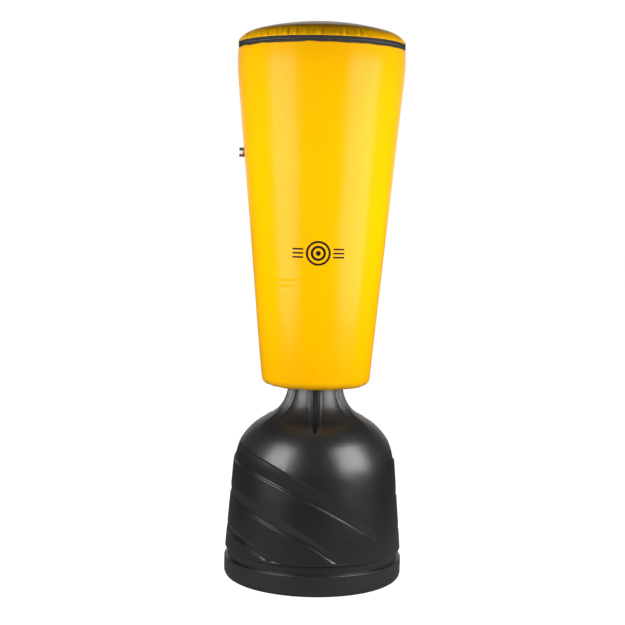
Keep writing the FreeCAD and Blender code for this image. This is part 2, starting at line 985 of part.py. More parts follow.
def side_tag():
    tag = doc.addObject("Part::Box", "side_tag")
    tag.Label = "side_tag"
    tag.setExpression("Length", bound("tag_reach"))
    tag.setExpression("Width", bound("tag_thickness"))
    tag.setExpression("Height", bound("tag_length"))
    reach = amount("tag_clear + tag_reach")
    low = amount("tag_height - tag_length / 2")
    tag.Placement.Base = vector(-reach, -amount("tag_thickness / 2"), low)
    return tag


def zip_tapes_and_coils():
    lower_edge = "zip_middle - zip_gap"
    upper_edge = "zip_middle + zip_gap"
    tape_top = "lid_rim_height - fit_gap"
    lip = "coil_lip"
    return [
        band("zip_tape_lower", "tape_inner", "tape_outer", "tape_low", lower_edge),
        band("zip_tape_upper", "tape_inner", "tape_outer", upper_edge, tape_top, "tape_angle"),
        band(
            "zip_coil_lower",
            "tape_outer",
            "coil_outer",
            lower_edge + " - coil_height",
            lower_edge + " + " + lip,
            "coil_angle",
        ),
        band(
            "zip_coil_upper",
            "tape_outer",
            "coil_outer",
            upper_edge + " - " + lip,
            upper_edge + " + coil_height",
            "coil_angle",
        ),
    ]


def zip_stops():
    stops = []
    inner, outer = amount("tape_outer"), amount("coil_outer")
    low, high = amount("zip_middle - zip_gap - coil_height"), amount("zip_middle - zip_gap")
    half = amount("stop_angle / 2")
    profile = [(inner, low), (outer, low), (outer, high), (inner, high), (inner, low)]
    wire = Part.makePolygon([vector(r, 0, z) for r, z in profile])
    for side in (-1, 1):
        stop = Part.Face(wire).revolve(vector(0, 0, 0), vector(0, 0, 1), 2 * half)
        stop.rotate(vector(0, 0, 0), vector(0, 0, 1), side * amount("stop_azimuth") - 90 - half)
        stops.append(stop)
    group = doc.addObject("Part::Feature", "zip_stops")
    group.Label = "zip_stops"
    group.Shape = Part.makeCompound(stops)
    return group


# Two plates joined by the divider that runs between the coils, with ears for the pull's pin.
def zip_slider():
    low, high = "zip_middle - slider_half_height", "zip_middle + slider_half_height"
    split_low = "zip_middle - divider_half_height"
    split_high = "zip_middle + divider_half_height"
    slider = turned(
        "slider_blank",
        [
            ("slider_inner", low),
            ("slider_inner_face", low),
            ("slider_inner_face", split_low),
            ("slider_outer_face", split_low),
            ("slider_outer_face", low),
            ("slider_outer", low),
            ("slider_outer", high),
            ("slider_outer_face", high),
            ("slider_outer_face", split_high),
            ("slider_inner_face", split_high),
            ("slider_inner_face", high),
            ("slider_inner", high),
        ],
        "slider_angle",
    )
    ears = [
        ("ear_below", "zip_middle - ear_high", "zip_middle - ear_low"),
        ("ear_above", "zip_middle + ear_low", "zip_middle + ear_high"),
    ]
    for name, ear_low, ear_high in ears:
        ear = turned(
            name,
            [
                ("slider_outer - ear_root", ear_low),
                ("ear_reach", ear_low),
                ("ear_reach", ear_high),
                ("slider_outer - ear_root", ear_high),
            ],
            "slider_angle / 4",
        )
        slider = boolean("Fuse", "slider_with_" + name, slider, ear)
    start = vector(amount("pivot_radius"), 0, amount("zip_middle - ear_high"))
    pin = cylinder("pull_pin", "pin_radius", "2 * ear_high", FreeCAD.Placement(start, turn()))
    slider = boolean("Fuse", "zip_slider", slider, pin)
    slider.Placement.Rotation = about_z(amount("slider_azimuth - 90"))
    return slider


# A stamped tab with an eye round the slider's pin, lying along the zip at rest.
def zip_pull():
    half = "pull_half_height"
    low = FreeCAD.Placement(vector(0, 0, -amount(half)), turn())
    eye = cylinder("pull_eye", "eye_radius", "2 * pull_half_height", low)
    tab = doc.addObject("Part::Box", "pull_tab")
    tab.setExpression("Length", bound("pull_length"))
    tab.setExpression("Width", bound("pull_thickness"))
    tab.setExpression("Height", bound("2 * pull_half_height"))
    tab.Placement.Base = vector(0, -amount("pull_thickness / 2"), -amount(half))
    joined = boolean("Fuse", "pull_joined", eye, tab)
    bore = cylinder(
        "eye_bore_tool",
        "eye_bore",
        "4 * pull_half_height",
        FreeCAD.Placement(vector(0, 0, -2 * amount(half)), turn()),
    )
    pull = boolean("Cut", "zip_pull", joined, bore)
    rest = about_z(amount("slider_azimuth - 90"))
    base = rest.multVec(vector(amount("pivot_radius"), 0, amount("zip_middle")))
    pull.Placement = FreeCAD.Placement(base, about_z(amount("slider_azimuth")))
    return pull


def make_subparts():
    cross = cross_tool("screw_tool", "core_screw_hole")
    insert_low = "neck_height - insert_length"
    upper_low = buffer_high + " - washer_thickness"
    upper_head_low = upper_low + " - head_thickness"
    made = [
        base_tank(),
        water_ballast(),
        filler_cap(),
        filler_gasket(),
        mount_plate("lower_mount_plate", "neck_height"),
        mount_plate("upper_mount_plate", buffer_high),
        rubber_buffer(),
        core_flange(cross),
        core_tube(cross),
        core_screws(),
        core_cap(),
        foam_skirt(),
        foam_sleeve(),
        foam_top_plug(),
        foam_crown(),
        cover_sleeve(),
        cover_base_ring(),
        cover_lid(),
        lid_hinge_tab(),
        side_tag(),
        zip_stops(),
        zip_slider(),
        zip_pull(),
    ]
    made += zip_tapes_and_coils()
    on_bolt_circle = [
        ring_group("neck_inserts", insert_low, "insert_length", "insert_radius", "insert_bore"),
        ring_group(
            "lower_washers", buffer_low, "washer_thickness", "washer_radius", "bolt_hole"
        ),
        bolt_group(
            "lower_plate_bolts",
            buffer_low + " + washer_thickness",
            buffer_low + " - bolt_length",
            "bolt_length + washer_thickness + head_bite",
        ),
        ring_group("upper_washers", upper_low, "washer_thickness", "washer_radius", "bolt_hole"),
        bolt_group(
            "upper_plate_bolts",
            upper_head_low,
            upper_low + " - head_bite",
            "long_bolt_length + head_bite",
        ),
        ring_group("nut_washers", flange_high, "washer_thickness", "washer_radius", "bolt_hole"),
        nut_group("upper_plate_nuts", flange_high + " + washer_thickness"),
    ]
    return made + [placed_at_45(body) for body in on_bolt_circle]


subparts = make_subparts()
doc.recompute()

for item in doc.Objects:
    if "Invalid" in item.State or "Error" in item.State:
        raise RuntimeError("%s is %s" % (item.Label, item.State))
for part in subparts:
    if part.Shape.isNull() or not part.Shape.isValid() or not part.Shape.Solids:
        raise RuntimeError(part.Label + " has no valid solid")

os.makedirs("parts", exist_ok=True)
for part in subparts:
    part.Shape.exportStep(os.path.join("parts", part.Label + ".step"))
    box = part.Shape.BoundBox
    print(
        "%-18s %d solids, %9.1f cm3, x %.1f..%.1f y %.1f..%.1f z %.1f..%.1f"
        % (
            part.Label,
            len(part.Shape.Solids),
            part.Shape.Volume / 1000,
            box.XMin,
            box.XMax,
            box.YMin,
            box.YMax,
            box.ZMin,
            box.ZMax,
        )
    )
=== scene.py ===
import json
import math

import bpy
import numpy as np
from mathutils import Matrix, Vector, noise


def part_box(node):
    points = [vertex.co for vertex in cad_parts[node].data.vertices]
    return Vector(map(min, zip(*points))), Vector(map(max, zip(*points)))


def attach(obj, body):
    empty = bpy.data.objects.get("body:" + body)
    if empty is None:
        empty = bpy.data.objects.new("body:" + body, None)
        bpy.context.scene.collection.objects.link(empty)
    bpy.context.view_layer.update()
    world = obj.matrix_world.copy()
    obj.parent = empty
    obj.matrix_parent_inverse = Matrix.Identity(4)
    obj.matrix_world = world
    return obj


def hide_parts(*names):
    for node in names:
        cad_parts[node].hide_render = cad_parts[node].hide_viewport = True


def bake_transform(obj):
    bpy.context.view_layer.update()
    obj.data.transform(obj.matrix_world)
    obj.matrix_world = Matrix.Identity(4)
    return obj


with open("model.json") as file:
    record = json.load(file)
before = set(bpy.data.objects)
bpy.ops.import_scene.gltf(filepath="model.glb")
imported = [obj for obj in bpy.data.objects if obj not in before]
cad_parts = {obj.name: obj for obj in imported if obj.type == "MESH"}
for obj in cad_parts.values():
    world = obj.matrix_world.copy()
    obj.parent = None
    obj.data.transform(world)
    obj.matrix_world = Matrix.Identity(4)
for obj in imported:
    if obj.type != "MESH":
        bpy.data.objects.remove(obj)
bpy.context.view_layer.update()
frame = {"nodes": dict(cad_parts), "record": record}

baseColors = {m["slot"]: m["base_color"][:3] for m in frame["record"]["materials"]}
sleeveLow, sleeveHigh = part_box("cover_sleeve")
lidLow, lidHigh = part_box("cover_lid")
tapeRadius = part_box("zip_tape_lower")[1][0]
crownLow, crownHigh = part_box("foam_crown")
skirtLow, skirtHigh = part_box("foam_skirt")
ringLow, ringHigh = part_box("cover_base_ring")
tagLow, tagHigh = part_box("side_tag")
tabLow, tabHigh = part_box("lid_hinge_tab")

def newPiece(name, verts, faces, body, uvs=None, smooth=True):
    mesh = bpy.data.meshes.new(name)
    mesh.from_pydata(np.asarray(verts, float).tolist(), [], faces)
    if uvs is not None:
        layer = mesh.uv_layers.new(name="along")
        index = np.empty(len(mesh.loops), int)
        mesh.loops.foreach_get("vertex_index", index)
        layer.data.foreach_set("uv", np.asarray(uvs, float)[index].ravel())
    mesh.polygons.foreach_set("use_smooth", [smooth] * len(mesh.polygons))
    mesh.update()
    piece = bpy.data.objects.new(name, mesh)
    bpy.context.scene.collection.objects.link(piece)
    if body:
        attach(piece, body)
    return piece


def gridFaces(rows, columns, wrap=True, start=0):
    last = columns if wrap else columns - 1
    faces = []
    for i in range(rows - 1):
        for j in range(last):
            k = (j + 1) % columns
            a, b = start + i * columns, start + (i + 1) * columns
            faces.append((a + j, a + k, b + k, b + j))
    return faces


# r and z follow the outline, theta runs round
def turnedGrid(r, z, theta):
    x = r * np.cos(theta)
    y = r * np.sin(theta)
    return np.stack([x, y, np.broadcast_to(z, x.shape)], axis=-1).reshape(-1, 3)


# the outline through corners (r, z, rounding), with each round corner as an arc
def roundedOutline(corners, arcSteps=10):
    points = []
    for i, corner in enumerate(corners):
        here = np.array(corner[:2], float)
        rounding = corner[2] if len(corner) > 2 else 0.0
        if rounding == 0.0:
            points.append(here)
            continue
        before = np.array(corners[i - 1][:2]) - here
        after = np.array(corners[i + 1][:2]) - here
        u, v = before / np.linalg.norm(before), after / np.linalg.norm(after)
        half = math.acos(float(np.clip(u @ v, -1, 1))) / 2
        reach = rounding / math.tan(half)
        middle = here + (u + v) / np.linalg.norm(u + v) * rounding / math.sin(half)
        start, end = here + u * reach, here + v * reach
        first = math.atan2(*(start - middle)[::-1])
        sweep = math.atan2(*(end - middle)[::-1]) - first
        sweep = (sweep + math.pi) % (2 * math.pi) - math.pi
        for k in range(arcSteps + 1):
            angle = first + sweep * k / arcSteps
            points.append(middle + rounding * np.array([math.cos(angle), math.sin(angle)]))
    return np.array(points)


# more points along an outline, none further apart than step(r, z)
def denser(points, step):
    out = [points[0]]
    for a, b in zip(points, points[1:]):
        length = np.linalg.norm(b - a)
        pieces = max(1, math.ceil(length / step(*(a + b) / 2)))
        out += [a + (b - a) * k / pieces for k in range(1, pieces + 1)]
    return np.array(out)


def outlineNormals(points):
    along = np.gradient(points, axis=0)
    normals = np.stack([along[:, 1], -along[:, 0]], axis=1)
    return normals / np.maximum(np.linalg.norm(normals, axis=1, keepdims=True), 1e-9)


def smoothStep(t):
    t = np.clip(t, 0.0, 1.0)
    return t * t * (3 - 2 * t)


# a smooth curve through a few stations
def through(x, xs, ys):
    xs, ys = np.asarray(xs, float), np.asarray(ys, float)
    slopes = np.gradient(ys, xs)
    x = np.clip(x, xs[0], xs[-1])
    i = np.clip(np.searchsorted(xs, x) - 1, 0, len(xs) - 2)
    gap = xs[i + 1] - xs[i]
    t = (x - xs[i]) / gap
    a, b = ys[i], ys[i + 1]
    m, n = slopes[i] * gap, slopes[i + 1] * gap
    cubic = (2 * t**3 - 3 * t**2 + 1) * a + (t**3 - 2 * t**2 + t) * m
    return cubic + (3 * t**2 - 2 * t**3) * b + (t**3 - t**2) * n


# repeatable soft noise on a list of points
def softNoise(points, scale, shift=0.0):
    offset = Vector((shift, 1.7 * shift, -0.6 * shift))
    return np.array([noise.noise(Vector(p) * scale + offset) for p in points])


def addModifier(piece, kind, **settings):
    modifier = piece.modifiers.new(kind.lower(), kind)
    for key, value in settings.items():
        setattr(modifier, key, value)
    return modifier


def newGroup(name, inputs, outputs):
    group = bpy.data.node_groups.new(name, "ShaderNodeTree")
    for socketName, kind, default in inputs:
        socket = group.interface.new_socket(socketName, in_out="INPUT", socket_type=kind)
        if default is not None:
            socket.default_value = default
    for socketName, kind in outputs:
        group.interface.new_socket(socketName, in_out="OUTPUT", socket_type=kind)
    return group, group.nodes.new("NodeGroupInput"), group.nodes.new("NodeGroupOutput")


def addNode(tree, kind, **settings):
    node = tree.nodes.new("ShaderNode" + kind)
    for key, value in settings.items():
        setattr(node, key, value)
    return node


# a maths node with its inputs joined or set in order
def maths(tree, operation, *inputs, clamp=False):
    node = addNode(tree, "Math", operation=operation, use_clamp=clamp)
    for socket, value in zip(node.inputs, inputs):
        if isinstance(value, (int, float)):
            socket.default_value = value
        else:
            tree.links.new(value, socket)
    return node.outputs[0]


def noiseOf(tree, vector, scale, detail=3.0, roughness=0.5):
    node = addNode(tree, "TexNoise")
    if vector is not None:
        tree.links.new(vector, node.inputs["Vector"])
    if isinstance(scale, (int, float)):
        node.inputs["Scale"].default_value = scale
    else:
        tree.links.new(scale, node.inputs["Scale"])
    node.inputs["Detail"].default_value = detail
    node.inputs["Roughness"].default_value = roughness
    return node.outputs["Fac"]


def mapped(tree, value, fromLow, fromHigh, toLow, toHigh):
    node = addNode(tree, "MapRange")
    tree.links.new(value, node.inputs["Value"])
    for key, number in zip(
        ("From Min", "From Max", "To Min", "To Max"), (fromLow, fromHigh, toLow, toHigh)
    ):
        if isinstance(number, (int, float)):
            node.inputs[key].default_value = number
        else:
            tree.links.new(number, node.inputs[key])
    return node.outputs["Result"]


# grain: pebbles with fine pores between them
def makeGrainGroup():
    group, enter, leave = newGroup(
        "grain",
        [("Vector", "NodeSocketVector", None), ("Size", "NodeSocketFloat", 600.0)],
        [("Height", "NodeSocketFloat")],
    )
    cells = addNode(group, "TexVoronoi", feature="SMOOTH_F1")
    cells.inputs["Smoothness"].default_value = 0.7
    group.links.new(enter.outputs["Vector"], cells.inputs["Vector"])
    group.links.new(enter.outputs["Size"], cells.inputs["Scale"])
    broad = maths(group, "MULTIPLY", enter.outputs["Size"], 0.22)
    rough = noiseOf(group, enter.outputs["Vector"], broad, 4.0, 0.6)
    pebble = maths(group, "MULTIPLY", cells.outputs["Distance"], 0.6)
    group.links.new(maths(group, "ADD", pebble, rough), leave.inputs["Height"])
    return group


# drift: slow change of a value over the surface, for colour and gloss
def makeDriftGroup():
    group, enter, leave = newGroup(
        "drift",
        [
            ("Vector", "NodeSocketVector", None),
            ("Size", "NodeSocketFloat", 3.0),
            ("Low", "NodeSocketFloat", 0.0),
            ("High", "NodeSocketFloat", 1.0),
        ],
        [("Value", "NodeSocketFloat")],
    )
    cloud = noiseOf(group, enter.outputs["Vector"], enter.outputs["Size"], 5.0, 0.55)
    value = mapped(group, cloud, 0.3, 0.7, enter.outputs["Low"], enter.outputs["High"])
    group.links.new(value, leave.inputs["Value"])
    return group


# scuffs: thin scratches in two directions and rubbed patches
def makeScuffGroup():
    group, enter, leave = newGroup(
        "scuffs",
        [
            ("Vector", "NodeSocketVector", None),
            ("Size", "NodeSocketFloat", 30.0),
            ("Amount", "NodeSocketFloat", 0.5),
        ],
        [("Mask", "NodeSocketFloat")],
    )
    marks = None
    for tilt, stretch in ((0.5, (1.0, 1.0, 14.0)), (1.9, (9.0, 1.0, 1.6))):
        turn = addNode(group, "Mapping")
        turn.inputs["Rotation"].default_value = (tilt, 0.3 * tilt, tilt)
        turn.inputs["Scale"].default_value = stretch
        group.links.new(enter.outputs["Vector"], turn.inputs["Vector"])
        streak = noiseOf(group, turn.outputs["Vector"], enter.outputs["Size"], 2.0, 0.4)
        thin = mapped(group, streak, 0.66, 0.72, 0.0, 1.0)
        marks = thin if marks is None else maths(group, "MAXIMUM", marks, thin)
    patches = noiseOf(group, enter.outputs["Vector"], 5.0, 3.0, 0.6)
    where = mapped(group, patches, 0.45, 0.65, 0.0, 1.0)
    mask = maths(group, "MULTIPLY", marks, where)
    mask = maths(group, "MULTIPLY", mask, enter.outputs["Amount"], clamp=True)
    group.links.new(mask, leave.inputs["Mask"])
    return group


# edge wear: raised edges rubbed lighter, broken up by noise
def makeEdgeGroup():
    group, enter, leave = newGroup(
        "edgeWear",
        [
            ("Vector", "NodeSocketVector", None),
            ("Start", "NodeSocketFloat", 0.53),
            ("Amount", "NodeSocketFloat", 0.5),
        ],
        [("Mask", "NodeSocketFloat")],
    )
    geometry = addNode(group, "NewGeometry")
    ends = maths(group, "ADD", enter.outputs["Start"], 0.05)
    worn = mapped(group, geometry.outputs["Pointiness"], enter.outputs["Start"], ends, 0, 1)
    broken = noiseOf(group, enter.outputs["Vector"], 60.0, 4.0, 0.6)
    mask = maths(group, "MULTIPLY", worn, mapped(group, broken, 0.35, 0.65, 0.2, 1.0))
    mask = maths(group, "MULTIPLY", mask, enter.outputs["Amount"], clamp=True)
    group.links.new(mask, leave.inputs["Mask"])
    return group


# dust: settles on faces that look up
def makeDustGroup():
    group, enter, leave = newGroup(
        "dust",
        [("Vector", "NodeSocketVector", None), ("Amount", "NodeSocketFloat", 0.3)],
        [("Mask", "NodeSocketFloat")],
    )
    geometry = addNode(group, "NewGeometry")
    parts = addNode(group, "SeparateXYZ")
    group.links.new(geometry.outputs["Normal"], parts.inputs["Vector"])
    up = mapped(group, parts.outputs["Z"], 0.3, 0.95, 0.0, 1.0)
    specks = noiseOf(group, enter.outputs["Vector"], 260.0, 3.0, 0.7)
    mask = maths(group, "MULTIPLY", up, mapped(group, specks, 0.35, 0.75, 0.0, 1.0))
    mask = maths(group, "MULTIPLY", mask, enter.outputs["Amount"], clamp=True)
    group.links.new(mask, leave.inputs["Mask"])
    return group


# weave: threads across and along, measured in the piece's own lengths
def makeWeaveGroup():
    group, enter, leave = newGroup(
        "weave",
        [
            ("Vector", "NodeSocketVector", None),
            ("Across", "NodeSocketFloat", 1500.0),
            ("Along", "NodeSocketFloat", 1100.0),
        ],
        [("Height", "NodeSocketFloat"), ("Mask", "NodeSocketFloat")],
    )
    parts = addNode(group, "SeparateXYZ")
    group.links.new(enter.outputs["Vector"], parts.inputs["Vector"])
    u = maths(group, "MULTIPLY", parts.outputs["X"], enter.outputs["Across"])
    v = maths(group, "MULTIPLY", parts.outputs["Y"], enter.outputs["Along"])
    warp = maths(group, "ABSOLUTE", maths(group, "SINE", u))
    weft = maths(group, "ABSOLUTE", maths(group, "SINE", v))
    over = maths(group, "SINE", maths(group, "ADD", u, v))
    over = mapped(group, over, -0.2, 0.2, 0.0, 1.0)
    first = maths(group, "MULTIPLY", warp, over)
    second = maths(group, "MULTIPLY", weft, maths(group, "SUBTRACT", 1.0, over))
    height = maths(group, "ADD", first, second)
    group.links.new(height, leave.inputs["Height"])
    group.links.new(mapped(group, height, 0.0, 0.5, 0.0, 1.0), leave.inputs["Mask"])
    return group


# a plain target with bars at its sides, printed on the front
printMark = {
    "rings": [(0.0, 0.0075), (0.0150, 0.0225), (0.0300, 0.0365)],
    "barStart": 0.044,
    "barEnd": 0.076,
    "barHeights": (-0.0120, 0.0, 0.0120),
    "barHalfWidth": 0.0026,
}


# print: the mark's mask, about a height on the side that faces the front
def makePrintGroup():
    group, enter, leave = newGroup(
        "print",
        [("Vector", "NodeSocketVector", None), ("Centre Height", "NodeSocketFloat", 1.0)],
        [("Mask", "NodeSocketFloat")],
    )
    parts = addNode(group, "SeparateXYZ")
    group.links.new(enter.outputs["Vector"], parts.inputs["Vector"])
    x = maths(group, "ABSOLUTE", parts.outputs["X"])
    z = maths(group, "SUBTRACT", parts.outputs["Z"], enter.outputs["Centre Height"])
    squares = maths(group, "ADD", maths(group, "POWER", x, 2.0), maths(group, "MULTIPLY", z, z))
    distance = maths(group, "SQRT", squares)
    mask = None
    for inner, outer in printMark["rings"]:
        inside = maths(group, "LESS_THAN", distance, outer)
        band = maths(group, "MULTIPLY", inside, maths(group, "GREATER_THAN", distance, inner))
        mask = band if mask is None else maths(group, "MAXIMUM", mask, band)
    beside = maths(group, "GREATER_THAN", x, printMark["barStart"])
    beside = maths(group, "MULTIPLY", beside, maths(group, "LESS_THAN", x, printMark["barEnd"]))
    for height in printMark["barHeights"]:
        away = maths(group, "ABSOLUTE", maths(group, "SUBTRACT", z, height))
        bar = maths(group, "LESS_THAN", away, printMark["barHalfWidth"])
        mask = maths(group, "MAXIMUM", mask, maths(group, "MULTIPLY", bar, beside))
    front = maths(group, "LESS_THAN", parts.outputs["Y"], 0.0)
    group.links.new(maths(group, "MULTIPLY", mask, front), leave.inputs["Mask"])
    return group


groups = {
    "grain": makeGrainGroup(),
    "drift": makeDriftGroup(),
    "scuffs": makeScuffGroup(),
    "edgeWear": makeEdgeGroup(),
    "dust": makeDustGroup(),
    "weave": makeWeaveGroup(),
    "print": makePrintGroup(),
}


def placeGroup(tree, kind, **values):
    node = addNode(tree, "Group", node_tree=groups[kind])
    for key, value in values.items():
        name = key.replace("_", " ")
        if isinstance(value, (int, float)):
            node.inputs[name].default_value = value
        else:
            tree.links.new(value, node.inputs[name])
    return node


def startMaterial(name, coordinate="Object", **shaderValues):
    material = bpy.data.materials.new(name)
    material.use_nodes = True
    tree = material.node_tree
    shader = tree.nodes["Principled BSDF"]
    for key, value in shaderValues.items():
        shader.inputs[key.replace("_", " ")].default_value = value
    vector = addNode(tree, "TexCoord").outputs[coordinate]
    return material, tree, shader, vector


def mixColors(tree, factor, first, second):
    node = addNode(tree, "MixRGB", blend_type="MIX")
    for socket, value in zip(node.inputs, (factor, first, second)):
        if isinstance(value, (int, float)):
            socket.default_value = value
        elif isinstance(value, (tuple, list)):
            socket.default_value = (*value[:3], 1.0)
        else:
            tree.links.new(value, socket)
    return node.outputs["Color"]


# two colours mixed by slow drift over the surface
def driftColor(tree, vector, size, first, second, high=1.0):
    drift = placeGroup(tree, "drift", Vector=vector, Size=size, Low=0.0, High=high)
    return mixColors(tree, drift.outputs["Value"], first, second)


# a gloss that drifts over the surface
def driftGloss(tree, vector, size, low, high):
    drift = placeGroup(tree, "drift", Vector=vector, Size=size, Low=low, High=high)
    return drift.outputs["Value"]


def addBump(tree, shader, height, strength, distance, after=None):
    bump = addNode(tree, "Bump")
    bump.inputs["Strength"].default_value = strength
    bump.inputs["Distance"].default_value = distance
    tree.links.new(height, bump.inputs["Height"])
    if after is not None:
        tree.links.new(after, bump.inputs["Normal"])
    tree.links.new(bump.outputs["Normal"], shader.inputs["Normal"])
    return bump.outputs["Normal"]


def addGrain(tree, shader, vector, size, strength, distance, after=None):
    grain = placeGroup(tree, "grain", Vector=vector, Size=size)
    addBump(tree, shader, grain.outputs["Height"], strength, distance, after)


def scaled(color, share):
    return tuple(min(1.0, c * share) for c in color)


def makeVinyl(name, printed=False):
    yellow = baseColors["yellow_vinyl"]
    material, tree, shader, vector = startMaterial(
        name, Roughness=0.24, Specular_IOR_Level=0.12
    )
    deep = (yellow[0] * 0.98, yellow[1] * 0.94, 0.0)
    light = (yellow[0], yellow[1] * 1.02, 0.0)
    color = driftColor(tree, vector, 2.6, deep, light)
    scuffs = placeGroup(tree, "scuffs", Vector=vector, Size=24.0, Amount=0.06)
    color = mixColors(tree, scuffs.outputs["Mask"], color, scaled(yellow, 0.72))
    gloss = driftGloss(tree, vector, 7.0, 0.21, 0.27)
    rough = maths(tree, "ADD", gloss, scuffs.outputs["Mask"])
    if printed:
        mark = placeGroup(tree, "print", Vector=vector, Centre_Height=1.010).outputs["Mask"]
        color = mixColors(tree, mark, color, (0.008, 0.008, 0.009))
        rough = mixColors(tree, mark, rough, (0.42, 0.42, 0.42))
    tree.links.new(color, shader.inputs["Base Color"])
    tree.links.new(rough, shader.inputs["Roughness"])
    soft = noiseOf(tree, vector, 16.0, 3.0, 0.55)
    normal = addBump(tree, shader, soft, 0.35, 0.0016)
    addGrain(tree, shader, vector, 620.0, 0.22, 0.0003, after=normal)
    return material


def makeHdpe(name, stipple=900.0, partingLine=True):
    dark = baseColors["black_hdpe"]
    material, tree, shader, vector = startMaterial(
        name, Roughness=0.3, Specular_IOR_Level=0.85
    )
    color = driftColor(tree, vector, 4.0, scaled(dark, 0.35), scaled(dark, 0.5))
    wear = placeGroup(tree, "edgeWear", Vector=vector, Start=0.515, Amount=0.5)
    color = mixColors(tree, wear.outputs["Mask"], color, (0.075, 0.075, 0.078))
    scuffs = placeGroup(tree, "scuffs", Vector=vector, Size=34.0, Amount=0.25)
    color = mixColors(tree, scuffs.outputs["Mask"], color, (0.06, 0.06, 0.062))
    dust = placeGroup(tree, "dust", Vector=vector, Amount=0.05)
    color = mixColors(tree, dust.outputs["Mask"], color, (0.2, 0.195, 0.185))
    tree.links.new(color, shader.inputs["Base Color"])
    gloss = driftGloss(tree, vector, 9.0, 0.31, 0.37)
    rough = maths(tree, "ADD", gloss, dust.outputs["Mask"])
    rough = maths(tree, "ADD", rough, maths(tree, "MULTIPLY", scuffs.outputs["Mask"], 0.2))
    tree.links.new(rough, shader.inputs["Roughness"])
    soft = noiseOf(tree, vector, 22.0, 2.0, 0.5)
    normal = addBump(tree, shader, soft, 0.3, 0.0012)
    grain = placeGroup(tree, "grain", Vector=vector, Size=stipple)
    height = maths(tree, "MULTIPLY", grain.outputs["Height"], 0.5)
    if partingLine:
        parts = addNode(tree, "SeparateXYZ")
        tree.links.new(vector, parts.inputs["Vector"])
        ridge = mapped(tree, maths(tree, "ABSOLUTE", parts.outputs["Y"]), 0.0, 0.0011, 1.4, 0.0)
        height = maths(tree, "ADD", height, ridge)
    addBump(tree, shader, height, 0.3, 0.0003, after=normal)
    return material


def makeWoven(name, color, across=1500.0, along=1100.0, coordinate="UV", sheen=0.08):
    material, tree, shader, vector = startMaterial(name, coordinate, Roughness=0.75)
    shader.inputs["Sheen Weight"].default_value = sheen
    weave = placeGroup(tree, "weave", Vector=vector, Across=across, Along=along)
    shade = mixColors(tree, weave.outputs["Mask"], scaled(color, 0.5), scaled(color, 1.1))
    shade = driftColor(tree, vector, 40.0, shade, scaled(color, 1.4), high=0.5)
    tree.links.new(shade, shader.inputs["Base Color"])
    addBump(tree, shader, weave.outputs["Height"], 0.3, 0.0002)
    return material


def makeMetal(name, color, rough, painted=False, metallic=1.0):
    material, tree, shader, vector = startMaterial(name, Metallic=metallic, Roughness=rough)
    base = driftColor(tree, vector, 60.0, scaled(color, 0.8), scaled(color, 1.15))
    wear = placeGroup(tree, "edgeWear", Vector=vector, Start=0.52, Amount=0.7)
    bare = (0.45, 0.45, 0.44) if painted else scaled(color, 1.4)
    base = mixColors(tree, wear.outputs["Mask"], base, bare)
    tree.links.new(base, shader.inputs["Base Color"])
    scuffs = placeGroup(tree, "scuffs", Vector=vector, Size=220.0, Amount=0.8)
    low = mapped(tree, scuffs.outputs["Mask"], 0.0, 1.0, rough, min(1.0, rough + 0.3))
    tree.links.new(low, shader.inputs["Roughness"])
    addGrain(tree, shader, vector, 1800.0, 0.15, 0.0001)
    return material


def makeFoam(name):
    color = baseColors["grey_foam"]
    material, tree, shader, vector = startMaterial(name, Roughness=0.95)
    cells = addNode(tree, "TexVoronoi")
    cells.inputs["Scale"].default_value = 420.0
    tree.links.new(vector, cells.inputs["Vector"])
    pores = mapped(tree, cells.outputs["Distance"], 0.05, 0.45, 1.0, 0.0)
    shade = mixColors(tree, pores, scaled(color, 1.3), scaled(color, 0.5))
    shade = driftColor(tree, vector, 14.0, shade, scaled(color, 1.6), high=0.5)
    tree.links.new(shade, shader.inputs["Base Color"])
    addBump(tree, shader, cells.outputs["Distance"], 0.5, 0.0008)
    return material


def makeRubber(name):
    color = baseColors["black_rubber"]
    material, tree, shader, vector = startMaterial(name, Roughness=0.6)
    shade = driftColor(tree, vector, 30.0, scaled(color, 0.8), scaled(color, 1.6))
    dust = placeGroup(tree, "dust", Vector=vector, Amount=0.5)
    shade = mixColors(tree, dust.outputs["Mask"], shade, (0.16, 0.155, 0.15))
    tree.links.new(shade, shader.inputs["Base Color"])
    tree.links.new(driftGloss(tree, vector, 50.0, 0.5, 0.7), shader.inputs["Roughness"])
    addGrain(tree, shader, vector, 1400.0, 0.25, 0.0002)
    return material


def makeThread(name, color):
    material, tree, shader, vector = startMaterial(name, Roughness=0.55)
    shader.inputs["Sheen Weight"].default_value = 0.2
    fibre = noiseOf(tree, vector, 2600.0, 2.0, 0.5)
    shade = mixColors(tree, fibre, scaled(color, 0.65), scaled(color, 1.15))
    tree.links.new(shade, shader.inputs["Base Color"])
    addBump(tree, shader, fibre, 0.4, 0.0001)
    return material


def makeNylon(name):
    color = baseColors["zip_nylon"]
    material, tree, shader, vector = startMaterial(
        name, Roughness=0.4, Specular_IOR_Level=0.3
    )
    shade = driftColor(tree, vector, 90.0, scaled(color, 0.6), scaled(color, 1.2))
    tree.links.new(shade, shader.inputs["Base Color"])
    tree.links.new(driftGloss(tree, vector, 120.0, 0.36, 0.5), shader.inputs["Roughness"])
    return material


def makeCorePlastic(name, color):
    material, tree, shader, vector = startMaterial(name, Roughness=0.5)
    shade = driftColor(tree, vector, 8.0, scaled(color, 0.9), scaled(color, 1.1))
    scuffs = placeGroup(tree, "scuffs", Vector=vector, Size=60.0, Amount=0.5)
    shade = mixColors(tree, scuffs.outputs["Mask"], shade, scaled(color, 0.5))
    tree.links.new(shade, shader.inputs["Base Color"])
    addGrain(tree, shader, vector, 700.0, 0.2, 0.0002)
    return material


